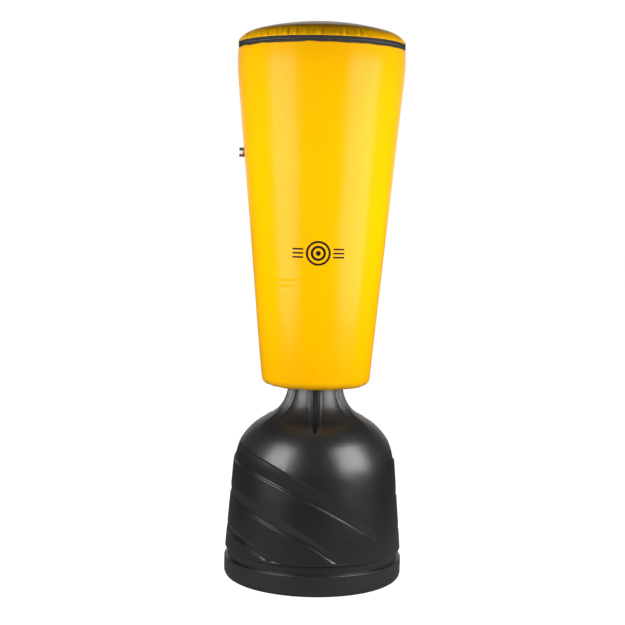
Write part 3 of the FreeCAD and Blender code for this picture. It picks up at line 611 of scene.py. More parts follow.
def makeWater(name):
    material, tree, shader, vector = startMaterial(name, Roughness=0.05)
    ripples = noiseOf(tree, vector, 30.0, 2.0, 0.5)
    shade = mixColors(tree, ripples, (0.3, 0.42, 0.48), (0.45, 0.56, 0.6))
    tree.links.new(shade, shader.inputs["Base Color"])
    addBump(tree, shader, ripples, 0.2, 0.001)
    return material


finishes = {
    "vinylPrinted": makeVinyl("vinylPrinted", printed=True),
    "vinyl": makeVinyl("vinyl"),
    "blackHdpe": makeHdpe("blackHdpe"),
    "capHdpe": makeHdpe("capHdpe", 1400.0, partingLine=False),
    "rubber": makeRubber("rubber"),
    "brass": makeMetal("brassInsert", baseColors["brass_insert"], 0.35),
    "plateSteel": makeMetal(
        "plateSteel", baseColors["plate_steel"], 0.45, painted=True, metallic=0.2
    ),
    "zincSteel": makeMetal("zincSteel", baseColors["fastener_steel"], 0.33),
    "zipMetal": makeMetal(
        "zipMetal", baseColors["zip_metal"], 0.32, painted=True, metallic=0.5
    ),
    "core": makeCorePlastic("corePlastic", baseColors["core_plastic"]),
    "foam": makeFoam("greyFoam"),
    "tape": makeWoven("zipTape", baseColors["zip_fabric"], 3600.0, 2800.0),
    "tab": makeWoven("hingeFabric", baseColors["zip_fabric"], 2400.0, 2400.0),
    "nylon": makeNylon("zipNylon"),
    "thread": makeThread("yellowThread", (0.85, 0.42, 0.01)),
    "blackThread": makeThread("blackThread", (0.03, 0.03, 0.03)),
    "water": makeWater("water"),
}
print("materials made:", len(finishes))


def paint(piece, *names):
    piece.data.materials.clear()
    for name in names:
        piece.data.materials.append(finishes[name])


view = {
    "place": (-0.0136, -4.179, 1.1674),
    "pitch": 4.76,
    "roll": 1.12,
    "lens": 78.4,
}


def addCamera():
    data = bpy.data.cameras.new("camera")
    data.lens = view["lens"]
    data.sensor_width = 36.0
    camera = bpy.data.objects.new("camera", data)
    bpy.context.scene.collection.objects.link(camera)
    camera.location = view["place"]
    tilt = math.radians(90 - view["pitch"])
    camera.rotation_mode = "XYZ"
    camera.rotation_euler = (tilt, 0.0, 0.0)
    camera.rotation_euler.rotate_axis("Z", math.radians(view["roll"]))
    bpy.context.scene.camera = camera


# two tall softboxes, which reach from below the bag's middle to its top
softboxes = [
    {"name": "leftBox", "azimuth": -51, "distance": 1.25, "height": 1.11, "size": (0.80, 1.16),
     "power": 18.5, "aim": 1.08},
    {"name": "rightBox", "azimuth": 57, "distance": 1.25, "height": 1.11, "size": (0.96, 1.16),
     "power": 22.0, "aim": 1.08},
]


def addLights():
    for box in softboxes:
        data = bpy.data.lights.new(box["name"], "AREA")
        data.shape = "RECTANGLE"
        data.size, data.size_y = box["size"]
        data.energy = box["power"]
        lamp = bpy.data.objects.new(box["name"], data)
        bpy.context.scene.collection.objects.link(lamp)
        angle = math.radians(box["azimuth"] - 90)
        reach = box["distance"]
        lamp.location = (reach * math.cos(angle), reach * math.sin(angle), box["height"])
        aim = Vector((0, 0, box["aim"])) - lamp.location
        lamp.rotation_euler = aim.to_track_quat("-Z", "Y").to_euler()


# a white backdrop, as bright as this straight behind and dim at the sides, overhead and in front
surroundings = {"backdrop": 1.02, "behind": 0.85, "inFront": 0.13, "overhead": 0.16,
                "sideStart": 0.82, "sideEnd": 0.97, "lowTop": 0.42, "fadeTop": 0.60}
floorLook = {"seen": 0.92, "unseen": 0.42, "glow": 0.93}


def addSurroundings():
    world = bpy.data.worlds.new("studio")
    world.use_nodes = True
    bpy.context.scene.world = world
    tree = world.node_tree
    parts = addNode(tree, "SeparateXYZ")
    tree.links.new(addNode(tree, "TexCoord").outputs["Generated"], parts.inputs["Vector"])
    back = mapped(
        tree, parts.outputs["Y"], surroundings["sideStart"], surroundings["sideEnd"],
        surroundings["inFront"], surroundings["behind"],
    )
    top = mapped(
        tree, parts.outputs["Z"], surroundings["lowTop"], surroundings["fadeTop"],
        1.0, surroundings["overhead"],
    )
    background = tree.nodes["Background"]
    background.inputs["Color"].default_value = (1.0, 1.0, 1.0, 1.0)
    seen = addNode(tree, "LightPath").outputs["Is Camera Ray"]
    strength = mapped(
        tree, seen, 0.0, 1.0, maths(tree, "MULTIPLY", back, top), surroundings["backdrop"]
    )
    tree.links.new(strength, background.inputs["Strength"])
    bpy.ops.mesh.primitive_plane_add(size=60.0, location=(0, 0, 0))
    floor = bpy.context.object
    floor.name = "floor"
    material, tree, shader, vector = startMaterial("paleFloor", Roughness=0.7)
    shade = mapped(
        tree, noiseOf(tree, vector, 3.0, 3.0, 0.5), 0.0, 1.0,
        floorLook["seen"] - 0.02, floorLook["seen"] + 0.02,
    )
    seen = addNode(tree, "LightPath").outputs["Is Camera Ray"]
    unseen = (floorLook["unseen"],) * 3
    tree.links.new(mixColors(tree, seen, unseen, shade), shader.inputs["Base Color"])
    shader.inputs["Emission Color"].default_value = (1.0, 1.0, 1.0, 1.0)
    glow = maths(tree, "MULTIPLY", seen, floorLook["glow"])
    tree.links.new(glow, shader.inputs["Emission Strength"])
    floor.data.materials.append(material)
    bpy.context.scene.view_settings.view_transform = "Standard"


addCamera()
addLights()
addSurroundings()
print("camera and lights placed")

bell = {
    "columns": 372,
    "outline": [
        (0.0, 0.006),
        (0.205, 0.006, 0.002),
        (0.211, 0.0, 0.002),
        (0.2745, 0.0, 0.020),
        (0.2745, 0.0655, 0.003),
        (0.2640, 0.0675, 0.001),
        (0.2625, 0.0895, 0.002),
        (0.2723, 0.0945, 0.002),
        (0.2420, 0.4536, 0.174),
        (0.0900, 0.5245, 0.111),
        (0.0800, 0.6400, 0.004),
        (0.0, 0.6400),
    ],
    "clawZone": (0.0966, 0.4430),
    "clawDepth": 0.0074,
    "clawWall": 0.0024,
    "clawLip": 0.0010,
    "plainRows": (0.0, 0.03, 0.2, 0.4, 0.6, 0.8, 0.97, 1.0),
    "fluteDepth": 0.013,
    "fluteCount": 6,
    "fluteSoft": 0.0010,
    "fluteLip": 0.0028,
    # the line that the bottom of each flute follows, and the radius and height where flutes end
    "fluteFloor": [(0.067, 0.660), (0.0715, 0.5105, 0.124), (0.206, 0.463)],
    "fluteEnd": (0.206, 0.45),
    "fineStep": 0.0006,
    "sideStep": 0.010,
    "shoulderStep": 0.0056,
    "hiddenStep": 0.02,
}
# each claw: azimuth, height of the upper and lower edge in mm, share of the full depth. Shares of
# nothing carry the mesh rows round to where the claw starts again, half a turn further on
claws = [
    [(-104, 420, 382, 0), (-84, 421, 365, 0.8), (-56, 411, 355, 1), (-30, 384, 327, 1),
     (0, 322, 272, 1), (20, 270, 224, 1), (36, 216, 180, 0.9), (47, 172, 160, 0),
     (54, 200, 190, 0), (62, 296, 280, 0), (70, 394, 370, 0)],
    [(-100, 286, 264, 0), (-80, 287, 248, 0.8), (-52, 273, 231, 1), (-24, 231, 193, 1),
     (0, 173, 145, 1), (9, 145, 116, 1), (15, 122, 96, 0.9), (20, 100, 90, 0.4),
     (24, 92, 88, 0), (44, 92, 88, 0), (53, 120, 112, 0), (62, 190, 178, 0),
     (72, 268, 250, 0)],
    [(-98, 170, 156, 0), (-80, 169, 142, 0.8), (-54, 158, 133, 1), (-40, 138, 112, 1),
     (-31, 119, 96, 0.9), (-24, 101, 90, 0.4), (-19, 92, 88, 0), (20, 92, 88, 0),
     (52, 96, 90, 0), (64, 130, 122, 0), (74, 164, 152, 0)],
]
# across a claw, as share of the way and of the depth: the steep wall from its lower edge, then
# the long slope that runs up to the small lip at the upper edge
clawWall = [(0.0, 0.03), (0.15, 0.18), (0.5, 0.58), (0.85, 0.93), (1.0, 0.99)]
clawSlope = [(0.04, 1.0), (0.12, 0.95), (0.26, 0.83), (0.42, 0.67), (0.58, 0.5), (0.74, 0.34),
             (0.88, 0.21), (1.0, 0.12)]


def clawEdges(stations, azimuth):
    first = stations[0][0]
    around = (azimuth - first) % 180 + first
    closed = stations + [(first + 180, *stations[0][1:])]
    places = [s[0] for s in closed]
    upper, lower, share = (through(around, places, [s[k] for s in closed]) for k in (1, 2, 3))
    return upper / 1000, lower / 1000, np.clip(share, 0, 1)


# heights and depths of the mesh rows over the claws, which follow the claws' edges round
def clawRows(azimuth):
    low, high = bell["clawZone"]
    below = np.full(azimuth.shape, low)
    heights, depths = [], []

    def plain(bottom, top):
        for t in bell["plainRows"]:
            heights.append(bottom + (top - bottom) * t)
            depths.append(0 * azimuth)

    for stations in reversed(claws):
        upper, lower, share = clawEdges(stations, azimuth)
        share = share * smoothStep((lower - low + 0.010) / 0.010)
        lower = np.maximum(lower, below + 0.0014)
        upper = np.maximum(upper, lower + 0.0014)
        plain(below + 0.0005, lower - 0.0004)
        wall = np.minimum(bell["clawWall"], 0.4 * (upper - lower))
        for t, depth in clawWall:
            heights.append(lower + wall * t)
            depths.append(bell["clawDepth"] * share * depth)
        lip = np.minimum(bell["clawLip"], 0.2 * (upper - lower))
        for t, depth in clawSlope:
            heights.append(lower + wall + (upper - lip - lower - wall) * t)
            depths.append(bell["clawDepth"] * share * depth)
        heights.append(upper)
        depths.append(0 * azimuth)
        below = upper
    plain(below + 0.0005, np.full(azimuth.shape, high))
    return np.array(heights), np.array(depths)


# how far below the surface the bottom line of a flute runs, at each point of the outline
def fluteDepths(outline):
    path = denser(roundedOutline(bell["fluteFloor"], 24), lambda r, z: 0.002)
    gaps = np.linalg.norm(outline[:, None, :] - path[None, :, :], axis=2).min(axis=1)
    floorHeight = np.interp(outline[:, 0], path[:, 0], path[:, 1])
    widest, lowest = bell["fluteEnd"]
    r, z = outline[:, 0], outline[:, 1]
    outside = (z > floorHeight) & (r < widest) & (z > lowest)
    return np.where(outside, np.minimum(gaps, bell["fluteDepth"]), 0.0)


filler = {
    "place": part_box("filler_gasket"),
    "lean": math.radians(29.8),
    "azimuth": 150.0,
    "radius": 0.034,
    "flare": 0.007,
    "rise": 0.010,
    "bore": 0.0206,
    "gasketHalf": 0.00125,
}


def fillerFrame():
    low, high = filler["place"]
    middle = (Vector(low) + Vector(high)) / 2
    angle = math.radians(filler["azimuth"] - 90)
    lean = filler["lean"]
    axis = Vector((math.cos(angle) * math.sin(lean), math.sin(angle) * math.sin(lean),
                   math.cos(lean)))
    return middle - axis * filler["gasketHalf"], axis


def raiseFillerSeat(points):
    seat, axis = fillerFrame()
    foot = np.array(seat - axis * filler["rise"])
    away = points - foot
    along = away @ np.array(axis)
    across = np.linalg.norm(away - along[:, None] * np.array(axis), axis=1)
    near = (across < filler["radius"] + filler["flare"]) & (np.abs(along) < 0.03)
    edge = (across - filler["radius"]) / filler["flare"]
    lift = (filler["rise"] - along) * (1 - smoothStep(edge))
    points[near] += (lift[:, None] * np.array(axis))[near]
    return across, near


def makeBell():
    corners = roundedOutline(bell["outline"], 12)
    low, high = bell["clawZone"]
    azimuth = np.linspace(-180, 180, bell["columns"], endpoint=False)
    fine = denser(corners, lambda r, z: bell["fineStep"])
    fineNormals = outlineNormals(fine)
    side = (fine[:, 1] > low - 0.003) & (fine[:, 1] < high + 0.003)
    heights, depths = clawRows(azimuth)
    r, across, up = (
        np.interp(heights, fine[side, 1], values[side])
        for values in (fine[:, 0], fineNormals[:, 0], fineNormals[:, 1])
    )
    clawed = np.stack([r - depths * across, heights - depths * up], -1)

    def step(r, z):
        if z < 0.003 or (z > 0.6 and r < 0.07):
            return bell["hiddenStep"]
        return bell["shoulderStep"] if z > 0.44 else bell["sideStep"]

    outline = denser(corners, step)
    normals = outlineNormals(outline)
    foot = outline[: int(np.argmax(outline[:, 1] > low))]
    above = outline[:, 1] > high
    shoulder, normals = outline[above], normals[above]
    run = fluteDepths(shoulder)[:, None]
    spacing = 360.0 / bell["fluteCount"]
    away = np.abs((azimuth + spacing / 2) % spacing - spacing / 2)[None, :]
    beside = np.radians(away) * shoulder[:, 0][:, None]
    soft = bell["fluteSoft"]
    valley = run - np.sqrt(beside**2 + soft**2) + soft
    cut = 0.5 * (valley + np.sqrt(valley**2 + (0.8 * soft) ** 2)) - 0.4 * soft
    lip = bell["fluteLip"] * np.exp(-((valley + 0.0016) / 0.0020) ** 2)
    cut = np.where(run > 0, np.maximum(cut, -0.3 * soft) - lip * smoothStep(run / 0.006), 0.0)
    fluted = shoulder[:, None, :] - cut[:, :, None] * normals[:, None, :]

    plain = np.repeat(foot[:, None, :], bell["columns"], axis=1)
    rows = np.concatenate([plain, clawed, fluted])
    points = turnedGrid(rows[:, :, 0], rows[:, :, 1], np.radians(azimuth - 90)[None, :])
    across, near = raiseFillerSeat(points)
    bore = (across < filler["bore"]) & near
    faces = [f for f in gridFaces(len(rows), bell["columns"]) if not bore[list(f)].any()]
    piece = newPiece("bellTank", points, faces, "base")
    paint(piece, "blackHdpe")
    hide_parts("base_tank")
    return piece


# the moulded collar that the cap screws into, with its thread
collar = {"columns": 72, "outer": 0.0330, "bore": 0.0209, "wall": 0.0026, "rim": 0.0004,
          "depth": 0.019, "steps": 36, "pitch": 0.006, "threadHeight": 0.0008}


def makeCollar():
    seat, axis = fillerFrame()
    outer, bore, rim, steps = (collar[key] for key in ("outer", "bore", "rim", "steps"))
    top, foot = -0.0005, -0.0005 - collar["depth"]
    rings = [(outer, -0.0030), (outer, 0.0001), (outer - 0.0008, rim), (bore + 0.0007, rim)]
    rings += [(bore + 0.0001, -0.0002)]
    rings += [(bore, top - collar["depth"] * k / steps) for k in range(steps + 1)]
    rings += [(bore + collar["wall"], foot), (bore + collar["wall"], top - 0.0030)]
    theta = np.linspace(0, 2 * math.pi, collar["columns"], endpoint=False)[None, :]
    r = np.array([p[0] for p in rings])[:, None] + 0 * theta
    h = np.array([p[1] for p in rings])[:, None] + 0 * theta
    inBore = (np.array([p[0] for p in rings]) == bore)[:, None]
    phase = 2 * math.pi * h / collar["pitch"] - theta
    r = r + np.where(inBore, collar["threadHeight"] * np.maximum(np.sin(phase), 0), 0)
    local = np.stack([r * np.cos(theta), r * np.sin(theta), h], -1).reshape(-1, 3)
    turn = Vector((0, 0, 1)).rotation_difference(axis).to_matrix()
    points = local @ np.array(turn).T + np.array(seat)
    piece = newPiece(
        "fillerCollar", points, gridFaces(len(rings), collar["columns"]), "base"
    )
    paint(piece, "capHdpe")


bellPiece = makeBell()
makeCollar()
print("bell base made:", len(bellPiece.data.polygons), "faces")

sleeve = {
    "columns": 160,
    "seamAzimuth": -90.0,
    "thickness": 0.0012,
    "undulation": 0.0011,
    "puckerTop": 0.0012,
    "puckerFoot": 0.0024,
    # azimuth, height, half length, half width and depth of each crease, and its slope
    "creases": [
        (-37, 1.088, 0.018, 0.0026, 0.0028, 0.06),
        (-39, 1.066, 0.007, 0.0024, 0.0020, -0.10),
        (-28, 0.926, 0.026, 0.0028, 0.0032, 0.05),
        (-30, 0.908, 0.017, 0.0026, 0.0024, 0.12),
        (-47, 1.196, 0.026, 0.0050, 0.0011, 0.08),
        (-62, 1.012, 0.040, 0.0060, 0.0016, 0.14),
        (-66, 0.842, 0.036, 0.0050, 0.0014, 0.10),
        (-58, 1.330, 0.034, 0.0060, 0.0012, -0.10),
        (150, 1.120, 0.050, 0.0060, 0.0018, 0.05),
        (-150, 0.930, 0.050, 0.0060, 0.0018, -0.06),
        (-118, 1.240, 0.036, 0.0050, 0.0016, -0.12),
        (-116, 0.800, 0.036, 0.0050, 0.0016, -0.10),
    ],
}


def sleeveColumns():
    even = np.linspace(-180, 180, sleeve["columns"], endpoint=False)
    near = sleeve["seamAzimuth"] + np.array([-1.6, -1.0, -0.62, -0.36, 0.0, 0.36, 0.62, 1.0, 1.6])
    kept = even[np.abs(even - sleeve["seamAzimuth"]) > 2.0]
    return np.sort(np.concatenate([kept, near]))


def sleeveOutline():
    low, top = sleeveLow[2], sleeveHigh[2]
    corners = [
        (0.1317, low, 0.0),
        (0.1645, low, 0.026),
        (0.2544, 1.565, 0.40),
        (0.2529, top - 0.0012, 0.0),
        (0.2526, top),
    ]
    return denser(roundedOutline(corners, 12), lambda r, z: 0.0042)


# how far the vinyl stands out from the plain taper
def vinylRelief(azimuth, r, z):
    flat = np.stack([r * np.cos(np.radians(azimuth)), r * np.sin(np.radians(azimuth)), z], -1)
    points = flat.reshape(-1, 3)
    shape = azimuth.shape
    broad = softNoise(points * [1, 1, 0.55], 7.0).reshape(shape)
    fine = softNoise(points * [1, 1, 0.8], 26.0, 5.0).reshape(shape)
    relief = sleeve["undulation"] * (broad + 0.25 * fine)
    top = sleeveHigh[2]
    pleats = softNoise(points * [1, 1, 0.12], 62.0, 9.0).reshape(shape)
    relief += sleeve["puckerTop"] * pleats * np.exp(-(top - z) / 0.016)
    gathers = softNoise(points * [1, 1, 0.2], 34.0, 13.0).reshape(shape)
    foot = np.exp(-np.maximum(z - sleeveLow[2], 0) / 0.035)
    relief += sleeve["puckerFoot"] * (gathers - 0.25) * foot
    for where, height, half, width, depth, slope in sleeve["creases"]:
        along = np.radians((azimuth - where + 180) % 360 - 180) * r
        across = z - height - slope * along
        bend = np.exp(-(along / half) ** 2)
        relief -= depth * bend * np.exp(-(across / width) ** 2)
        relief += 0.8 * depth * bend * np.exp(-((across - 2.1 * width) / (1.3 * width)) ** 2)
    away = np.abs(np.radians(azimuth - sleeve["seamAzimuth"])) * r
    relief -= 0.0016 * np.exp(-(away / 0.0016) ** 2) * smoothStep((z - 0.60) / 0.01)
    relief += 0.0005 * np.exp(-((away - 0.0048) / 0.003) ** 2)
    return np.clip(relief, -0.0014, 0.0026)


def makeSleeve():
    outline = sleeveOutline()
    normals = outlineNormals(outline)
    azimuth = sleeveColumns()[None, :]
    theta = np.radians(azimuth - 90)
    r, z = outline[:, 0][:, None] + 0 * theta, outline[:, 1][:, None] + 0 * theta
    relief = vinylRelief(azimuth + 0 * z, r, z)
    edge = outline[:, 0] < 0.14
    relief[edge] *= 0.2
    top = smoothStep((z - sleeveHigh[2] + 0.010) / 0.010)
    wave = softNoise(np.stack([np.cos(theta) * 9, np.sin(theta) * 9, 0 * theta], -1)
                     .reshape(-1, 3), 1.0, 21.0).reshape(theta.shape)
    points = turnedGrid(
        r + relief * normals[:, 0][:, None],
        z + relief * normals[:, 1][:, None] + 0.0022 * wave * top,
        theta,
    )
    uvs = np.stack([np.broadcast_to(theta * 0.21, r.shape).ravel(), z.ravel()], -1)
    piece = newPiece(
        "vinylSleeve", points, gridFaces(len(outline), azimuth.shape[1]), "bag",
        uvs,
    )
    paint(piece, "vinylPrinted")
    addModifier(piece, "SOLIDIFY", thickness=sleeve["thickness"], offset=-1.0)
    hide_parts("cover_sleeve")
    return piece, points.reshape(len(outline), -1, 3), outline


sleevePiece, sleevePoints, sleeveProfile = makeSleeve()
print("sleeve made:", len(sleevePiece.data.polygons), "faces")

stitch = {"length": 0.0046, "gap": 0.0014, "width": 0.0009, "sides": 6}


# a row of thread stitches that follows a list of points, lifted along a given normal
def addStitches(name, route, normals, body, finish):
    route, normals = np.asarray(route, float), np.asarray(normals, float)
    steps = np.linalg.norm(np.diff(route, axis=0), axis=1)
    total = np.concatenate([[0], np.cumsum(steps)])
    pitch = stitch["length"] + stitch["gap"]
    verts, faces = [], []
    profile = [(-0.5, 0.15), (-0.32, 0.75), (0.0, 1.0), (0.32, 0.75), (0.5, 0.15)]
    for k in range(int(total[-1] / pitch)):
        at = (k + 0.5) * pitch
        middle = np.array([np.interp(at, total, route[:, i]) for i in range(3)])
        ahead = np.array([np.interp(at + 0.001, total, route[:, i]) for i in range(3)])
        up = np.array([np.interp(at, total, normals[:, i]) for i in range(3)])
        along = ahead - middle
        along /= np.linalg.norm(along)
        side = np.cross(along, up)
        start = len(verts)
        for share, swell in profile:
            ring = middle + along * share * stitch["length"] + up * 0.0003 * swell
            for s in range(stitch["sides"]):
                angle = 2 * math.pi * s / stitch["sides"]
                reach = stitch["width"] / 2 * swell
                verts.append(ring + reach * (math.cos(angle) * side + math.sin(angle) * up))
        faces += gridFaces(len(profile), stitch["sides"], True, start)
    piece = newPiece(name, verts, faces, body)
    paint(piece, finish)
    return piece


def addSleeveStitching():
    azimuths = sleeveColumns()
    heights = sleeveProfile[:, 1]
    upright = (sleeveProfile[:, 0] > 0.15) & (heights > 0.625) & (heights < 1.606)
    for label, offset in (("Front", 1.0), ("Rear", -1.0)):
        column = int(np.argmin(np.abs(azimuths - sleeve["seamAzimuth"] - offset)))
        route = sleevePoints[upright, column]
        outward = route * [1, 1, 0]
        outward /= np.linalg.norm(outward, axis=1, keepdims=True)
        addStitches("seamStitches" + label, route, outward, "bag", "thread")
    row = int(np.argmin(np.abs(heights - (sleeveHigh[2] - 0.0055))))
    ring = np.vstack([sleevePoints[row], sleevePoints[row][:1]])
    outward = ring * [1, 1, 0]
    outward /= np.linalg.norm(outward, axis=1, keepdims=True)
    addStitches("hemStitches", ring, outward, "bag", "thread")


addSleeveStitching()
print("stitching made")


# a piece turned from a closed or open outline, with its surface moved out by relief(points)
def turnedPiece(name, outline, columns, relief, body, finish):
    normals = outlineNormals(outline)
    theta = np.linspace(0, 2 * math.pi, columns, endpoint=False)[None, :]
    r, z = outline[:, 0][:, None] + 0 * theta, outline[:, 1][:, None] + 0 * theta
    lift = relief(np.stack([r * np.cos(theta), r * np.sin(theta), z], -1).reshape(-1, 3))
    lift = lift.reshape(r.shape)
    points = turnedGrid(
        r + lift * normals[:, 0][:, None], z + lift * normals[:, 1][:, None], theta
    )
    uvs = np.stack([np.broadcast_to(theta * r.mean(), r.shape).ravel(), z.ravel()], -1)
    piece = newPiece(name, points, gridFaces(len(outline), columns), body, uvs)
    paint(piece, finish)
    return piece


# the vinyl ring that closes the underside
baseRing = {"inner": 0.1203, "rounding": 0.0005, "columns": 180, "step": 0.003, "wrinkle": 0.0007}


def makeBaseRing():
    inner, outer, rounding = baseRing["inner"], ringHigh[0], baseRing["rounding"]
    low, high = ringLow[2], ringHigh[2]
    corners = [(inner, high), (inner, low, rounding), (outer, low, rounding), (outer, high)]
    outline = denser(roundedOutline(corners, 4), lambda r, z: baseRing["step"])
    piece = turnedPiece(
        "vinylBaseRing", outline, baseRing["columns"],
        lambda p: baseRing["wrinkle"] * softNoise(p, 70.0, 3.0), "bag", "vinyl",
    )
    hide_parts("cover_base_ring")


# the foam round the mount: its hole, and its outside at the turned-under foot and at the top
skirt = {"hole": 0.1206, "foot": 0.162, "footRounding": 0.028, "top": 0.1748, "lift": 0.0006,
         "columns": 128, "step": 0.006, "unevenness": 0.0005}


def makeFoamSkirt():
    low, high = skirtLow[2] + skirt["lift"], skirtHigh[2]
    corners = [
        (skirt["hole"], high),
        (skirt["hole"], low, 0.003),
        (skirt["foot"], low, skirt["footRounding"]),
        (skirt["top"], high, 0.0),
        (skirt["hole"], high),
    ]
    outline = denser(roundedOutline(corners, 8), lambda r, z: skirt["step"])
    piece = turnedPiece(
        "foamSkirt", outline, skirt["columns"],
        lambda p: skirt["unevenness"] * softNoise(p, 60.0, 7.0), "bag", "foam",
    )
    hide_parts("foam_skirt")


# the foam under the lid: its radius, and the height where its side meets the dome
crown = {"radius": 0.2478, "sideTop": 1.6375, "domeSteps": 26, "columns": 160, "step": 0.008,
         "unevenness": 0.0004, "sunk": 0.0003}


def makeFoamCrown():
    low, high, edge = crownLow[2], crownHigh[2], crown["radius"]
    corners = [(0.0, low), (edge, low, 0.003), (edge, crown["sideTop"], 0.006)]
    for k in range(1, crown["domeSteps"] + 1):
        reach = edge * (1 - k / crown["domeSteps"])
        corners.append((reach, crownCurve(reach) - (lidHigh[2] - high)))
    outline = roundedOutline(corners, 5)
    gaps = np.linalg.norm(np.diff(outline, axis=0), axis=1)
    outline = outline[np.concatenate([[True], gaps > 1e-5])]
    piece = turnedPiece(
        "foamCrown", denser(outline, lambda r, z: crown["step"]), crown["columns"],
        lambda p: crown["unevenness"] * softNoise(p, 45.0, 11.0) - crown["sunk"],
        "bag", "foam",
    )
    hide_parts("foam_crown")


# height of the lid's outside at a radius: a wide crown and a rounder shoulder
lidShape = {"edge": 0.205, "edgeDrop": 0.0275, "shoulderArc": 0.070}


def crownCurve(reach):
    top, rim = lidHigh[2], lidLow[2]
    rimRadius = lidHigh[0]
    edge, drop = lidShape["edge"], lidShape["edgeDrop"]
    if reach <= edge:
        crownRadius = (edge**2 + drop**2) / (2 * drop)
        return top - crownRadius + math.sqrt(crownRadius**2 - reach**2)
    a, b = np.array([edge, top - drop]), np.array([rimRadius, rim])
    chord = b - a
    half = np.linalg.norm(chord) / 2
    inward = np.array([chord[1], -chord[0]]) / (2 * half)
    inward = -inward if inward[1] > 0 else inward
    middle = (a + b) / 2 + inward * math.sqrt(lidShape["shoulderArc"] ** 2 - half**2)
    reach = min(reach, rimRadius)
    return middle[1] + math.sqrt(max(lidShape["shoulderArc"] ** 2 - (reach - middle[0]) ** 2, 0))


rubber = {"radius": 0.048, "waist": 0.043, "rim": 0.006, "flare": 0.016, "rounding": 0.0015}


# the rubber mount bends; it is made as a lower half and an upper half, which meet at
# its middle
def makeRubberMount():
    low, high = (corner[2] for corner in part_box("rubber_buffer"))
    middle = (low + high) / 2
    halves = [
        ("rubberMountLower", low, ("base", "buffer"), (low, middle)),
        ("rubberMountUpper", high, ("buffer", "bag"), (middle, high)),
    ]
    for name, end, bodies, span in halves:
        way = 1 if end == low else -1
        corners = [
            (0.0, end),
            (rubber["radius"], end, rubber["rounding"]),
            (rubber["radius"], end + way * rubber["rim"], rubber["rounding"]),
            (rubber["waist"], end + way * rubber["flare"], 3 * rubber["rounding"]),
            (rubber["waist"], middle),
            (0.0, middle),
        ]
        outline = denser(roundedOutline(corners, 5), lambda r, z: 0.0025)[::way]
        piece = turnedPiece(
            name, outline, 96,
            lambda p: 0.0002 * softNoise(p, 90.0, 17.0), None, "rubber",
        )
        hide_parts("rubber_buffer")
        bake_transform(piece)


makeBaseRing()
makeFoamSkirt()
makeFoamCrown()
makeRubberMount()
print("foam and rubber mount made")

lid = {
    "columns": 360,
    "rows": 26,
    "frames": 22,
    "pressure": 1.6,
    "reach": 0.0068,
    "clear": 0.0022,
    "thickness": 0.0012,
    "foamEdge": 0.236,
    "cloth": {"quality": 8, "mass": 0.25, "tension_stiffness": 30.0,
              "compression_stiffness": 30.0, "shear_stiffness": 8.0, "bending_stiffness": 0.35},
}


# points along the dome from near the middle to the rim, evenly spaced, and their distance along it
def lidGrid():
    rim = lidHigh[0]
    radii = np.linspace(0.0, rim, 400)
    heights = np.array([crownCurve(r) for r in radii])
    along = np.concatenate([[0], np.cumsum(np.hypot(np.diff(radii), np.diff(heights)))])
    share = np.linspace(0.008, 1.0, lid["rows"])
    places = along[-1] * (1 - (1 - share) ** 1.3)
    return np.interp(places, along, radii), np.interp(places, along, heights), places


# short pleats in from the zip, in loose pairs
pleat = {"count": 44, "height": 0.0056, "width": 0.0040, "rise": 0.004, "short": 0.012,
         "long": 0.034}


def pleatRelief(theta, fromRim):
    dice = np.random.default_rng(7)
    relief = 0 * (theta + fromRim)
    places = 2 * math.pi * (np.arange(pleat["count"]) + dice.uniform(-0.42, 0.42, pleat["count"]))
    places /= pleat["count"]
    for place in places:
        long = dice.uniform(pleat["short"], pleat["long"])
        lean = dice.uniform(-0.25, 0.25)
        turn = (theta - place + math.pi) % (2 * math.pi) - math.pi
        across = (turn * lidHigh[0] - lean * fromRim) / pleat["width"]
        fold = np.exp(-(across**2)) - 0.8 * np.exp(-((across - 1.5) ** 2) / 0.6)
        fade = smoothStep(fromRim / pleat["rise"]) * np.exp(-(fromRim / long) ** 2)
        relief += dice.uniform(0.45, 1.0) * pleat["height"] * fold * fade
    return relief


# the lid's points moved out where they ended inside the foam
def clearOfFoam(points):
    reach = np.hypot(points[:, 0], points[:, 1])
    surface = np.array([crownCurve(r) for r in np.minimum(reach, lidHigh[0])])
    lowest = surface - lid["clear"]
    inside = (points[:, 2] < lowest) & (reach < lid["foamEdge"])
    points[inside, 2] = lowest[inside]
    return points


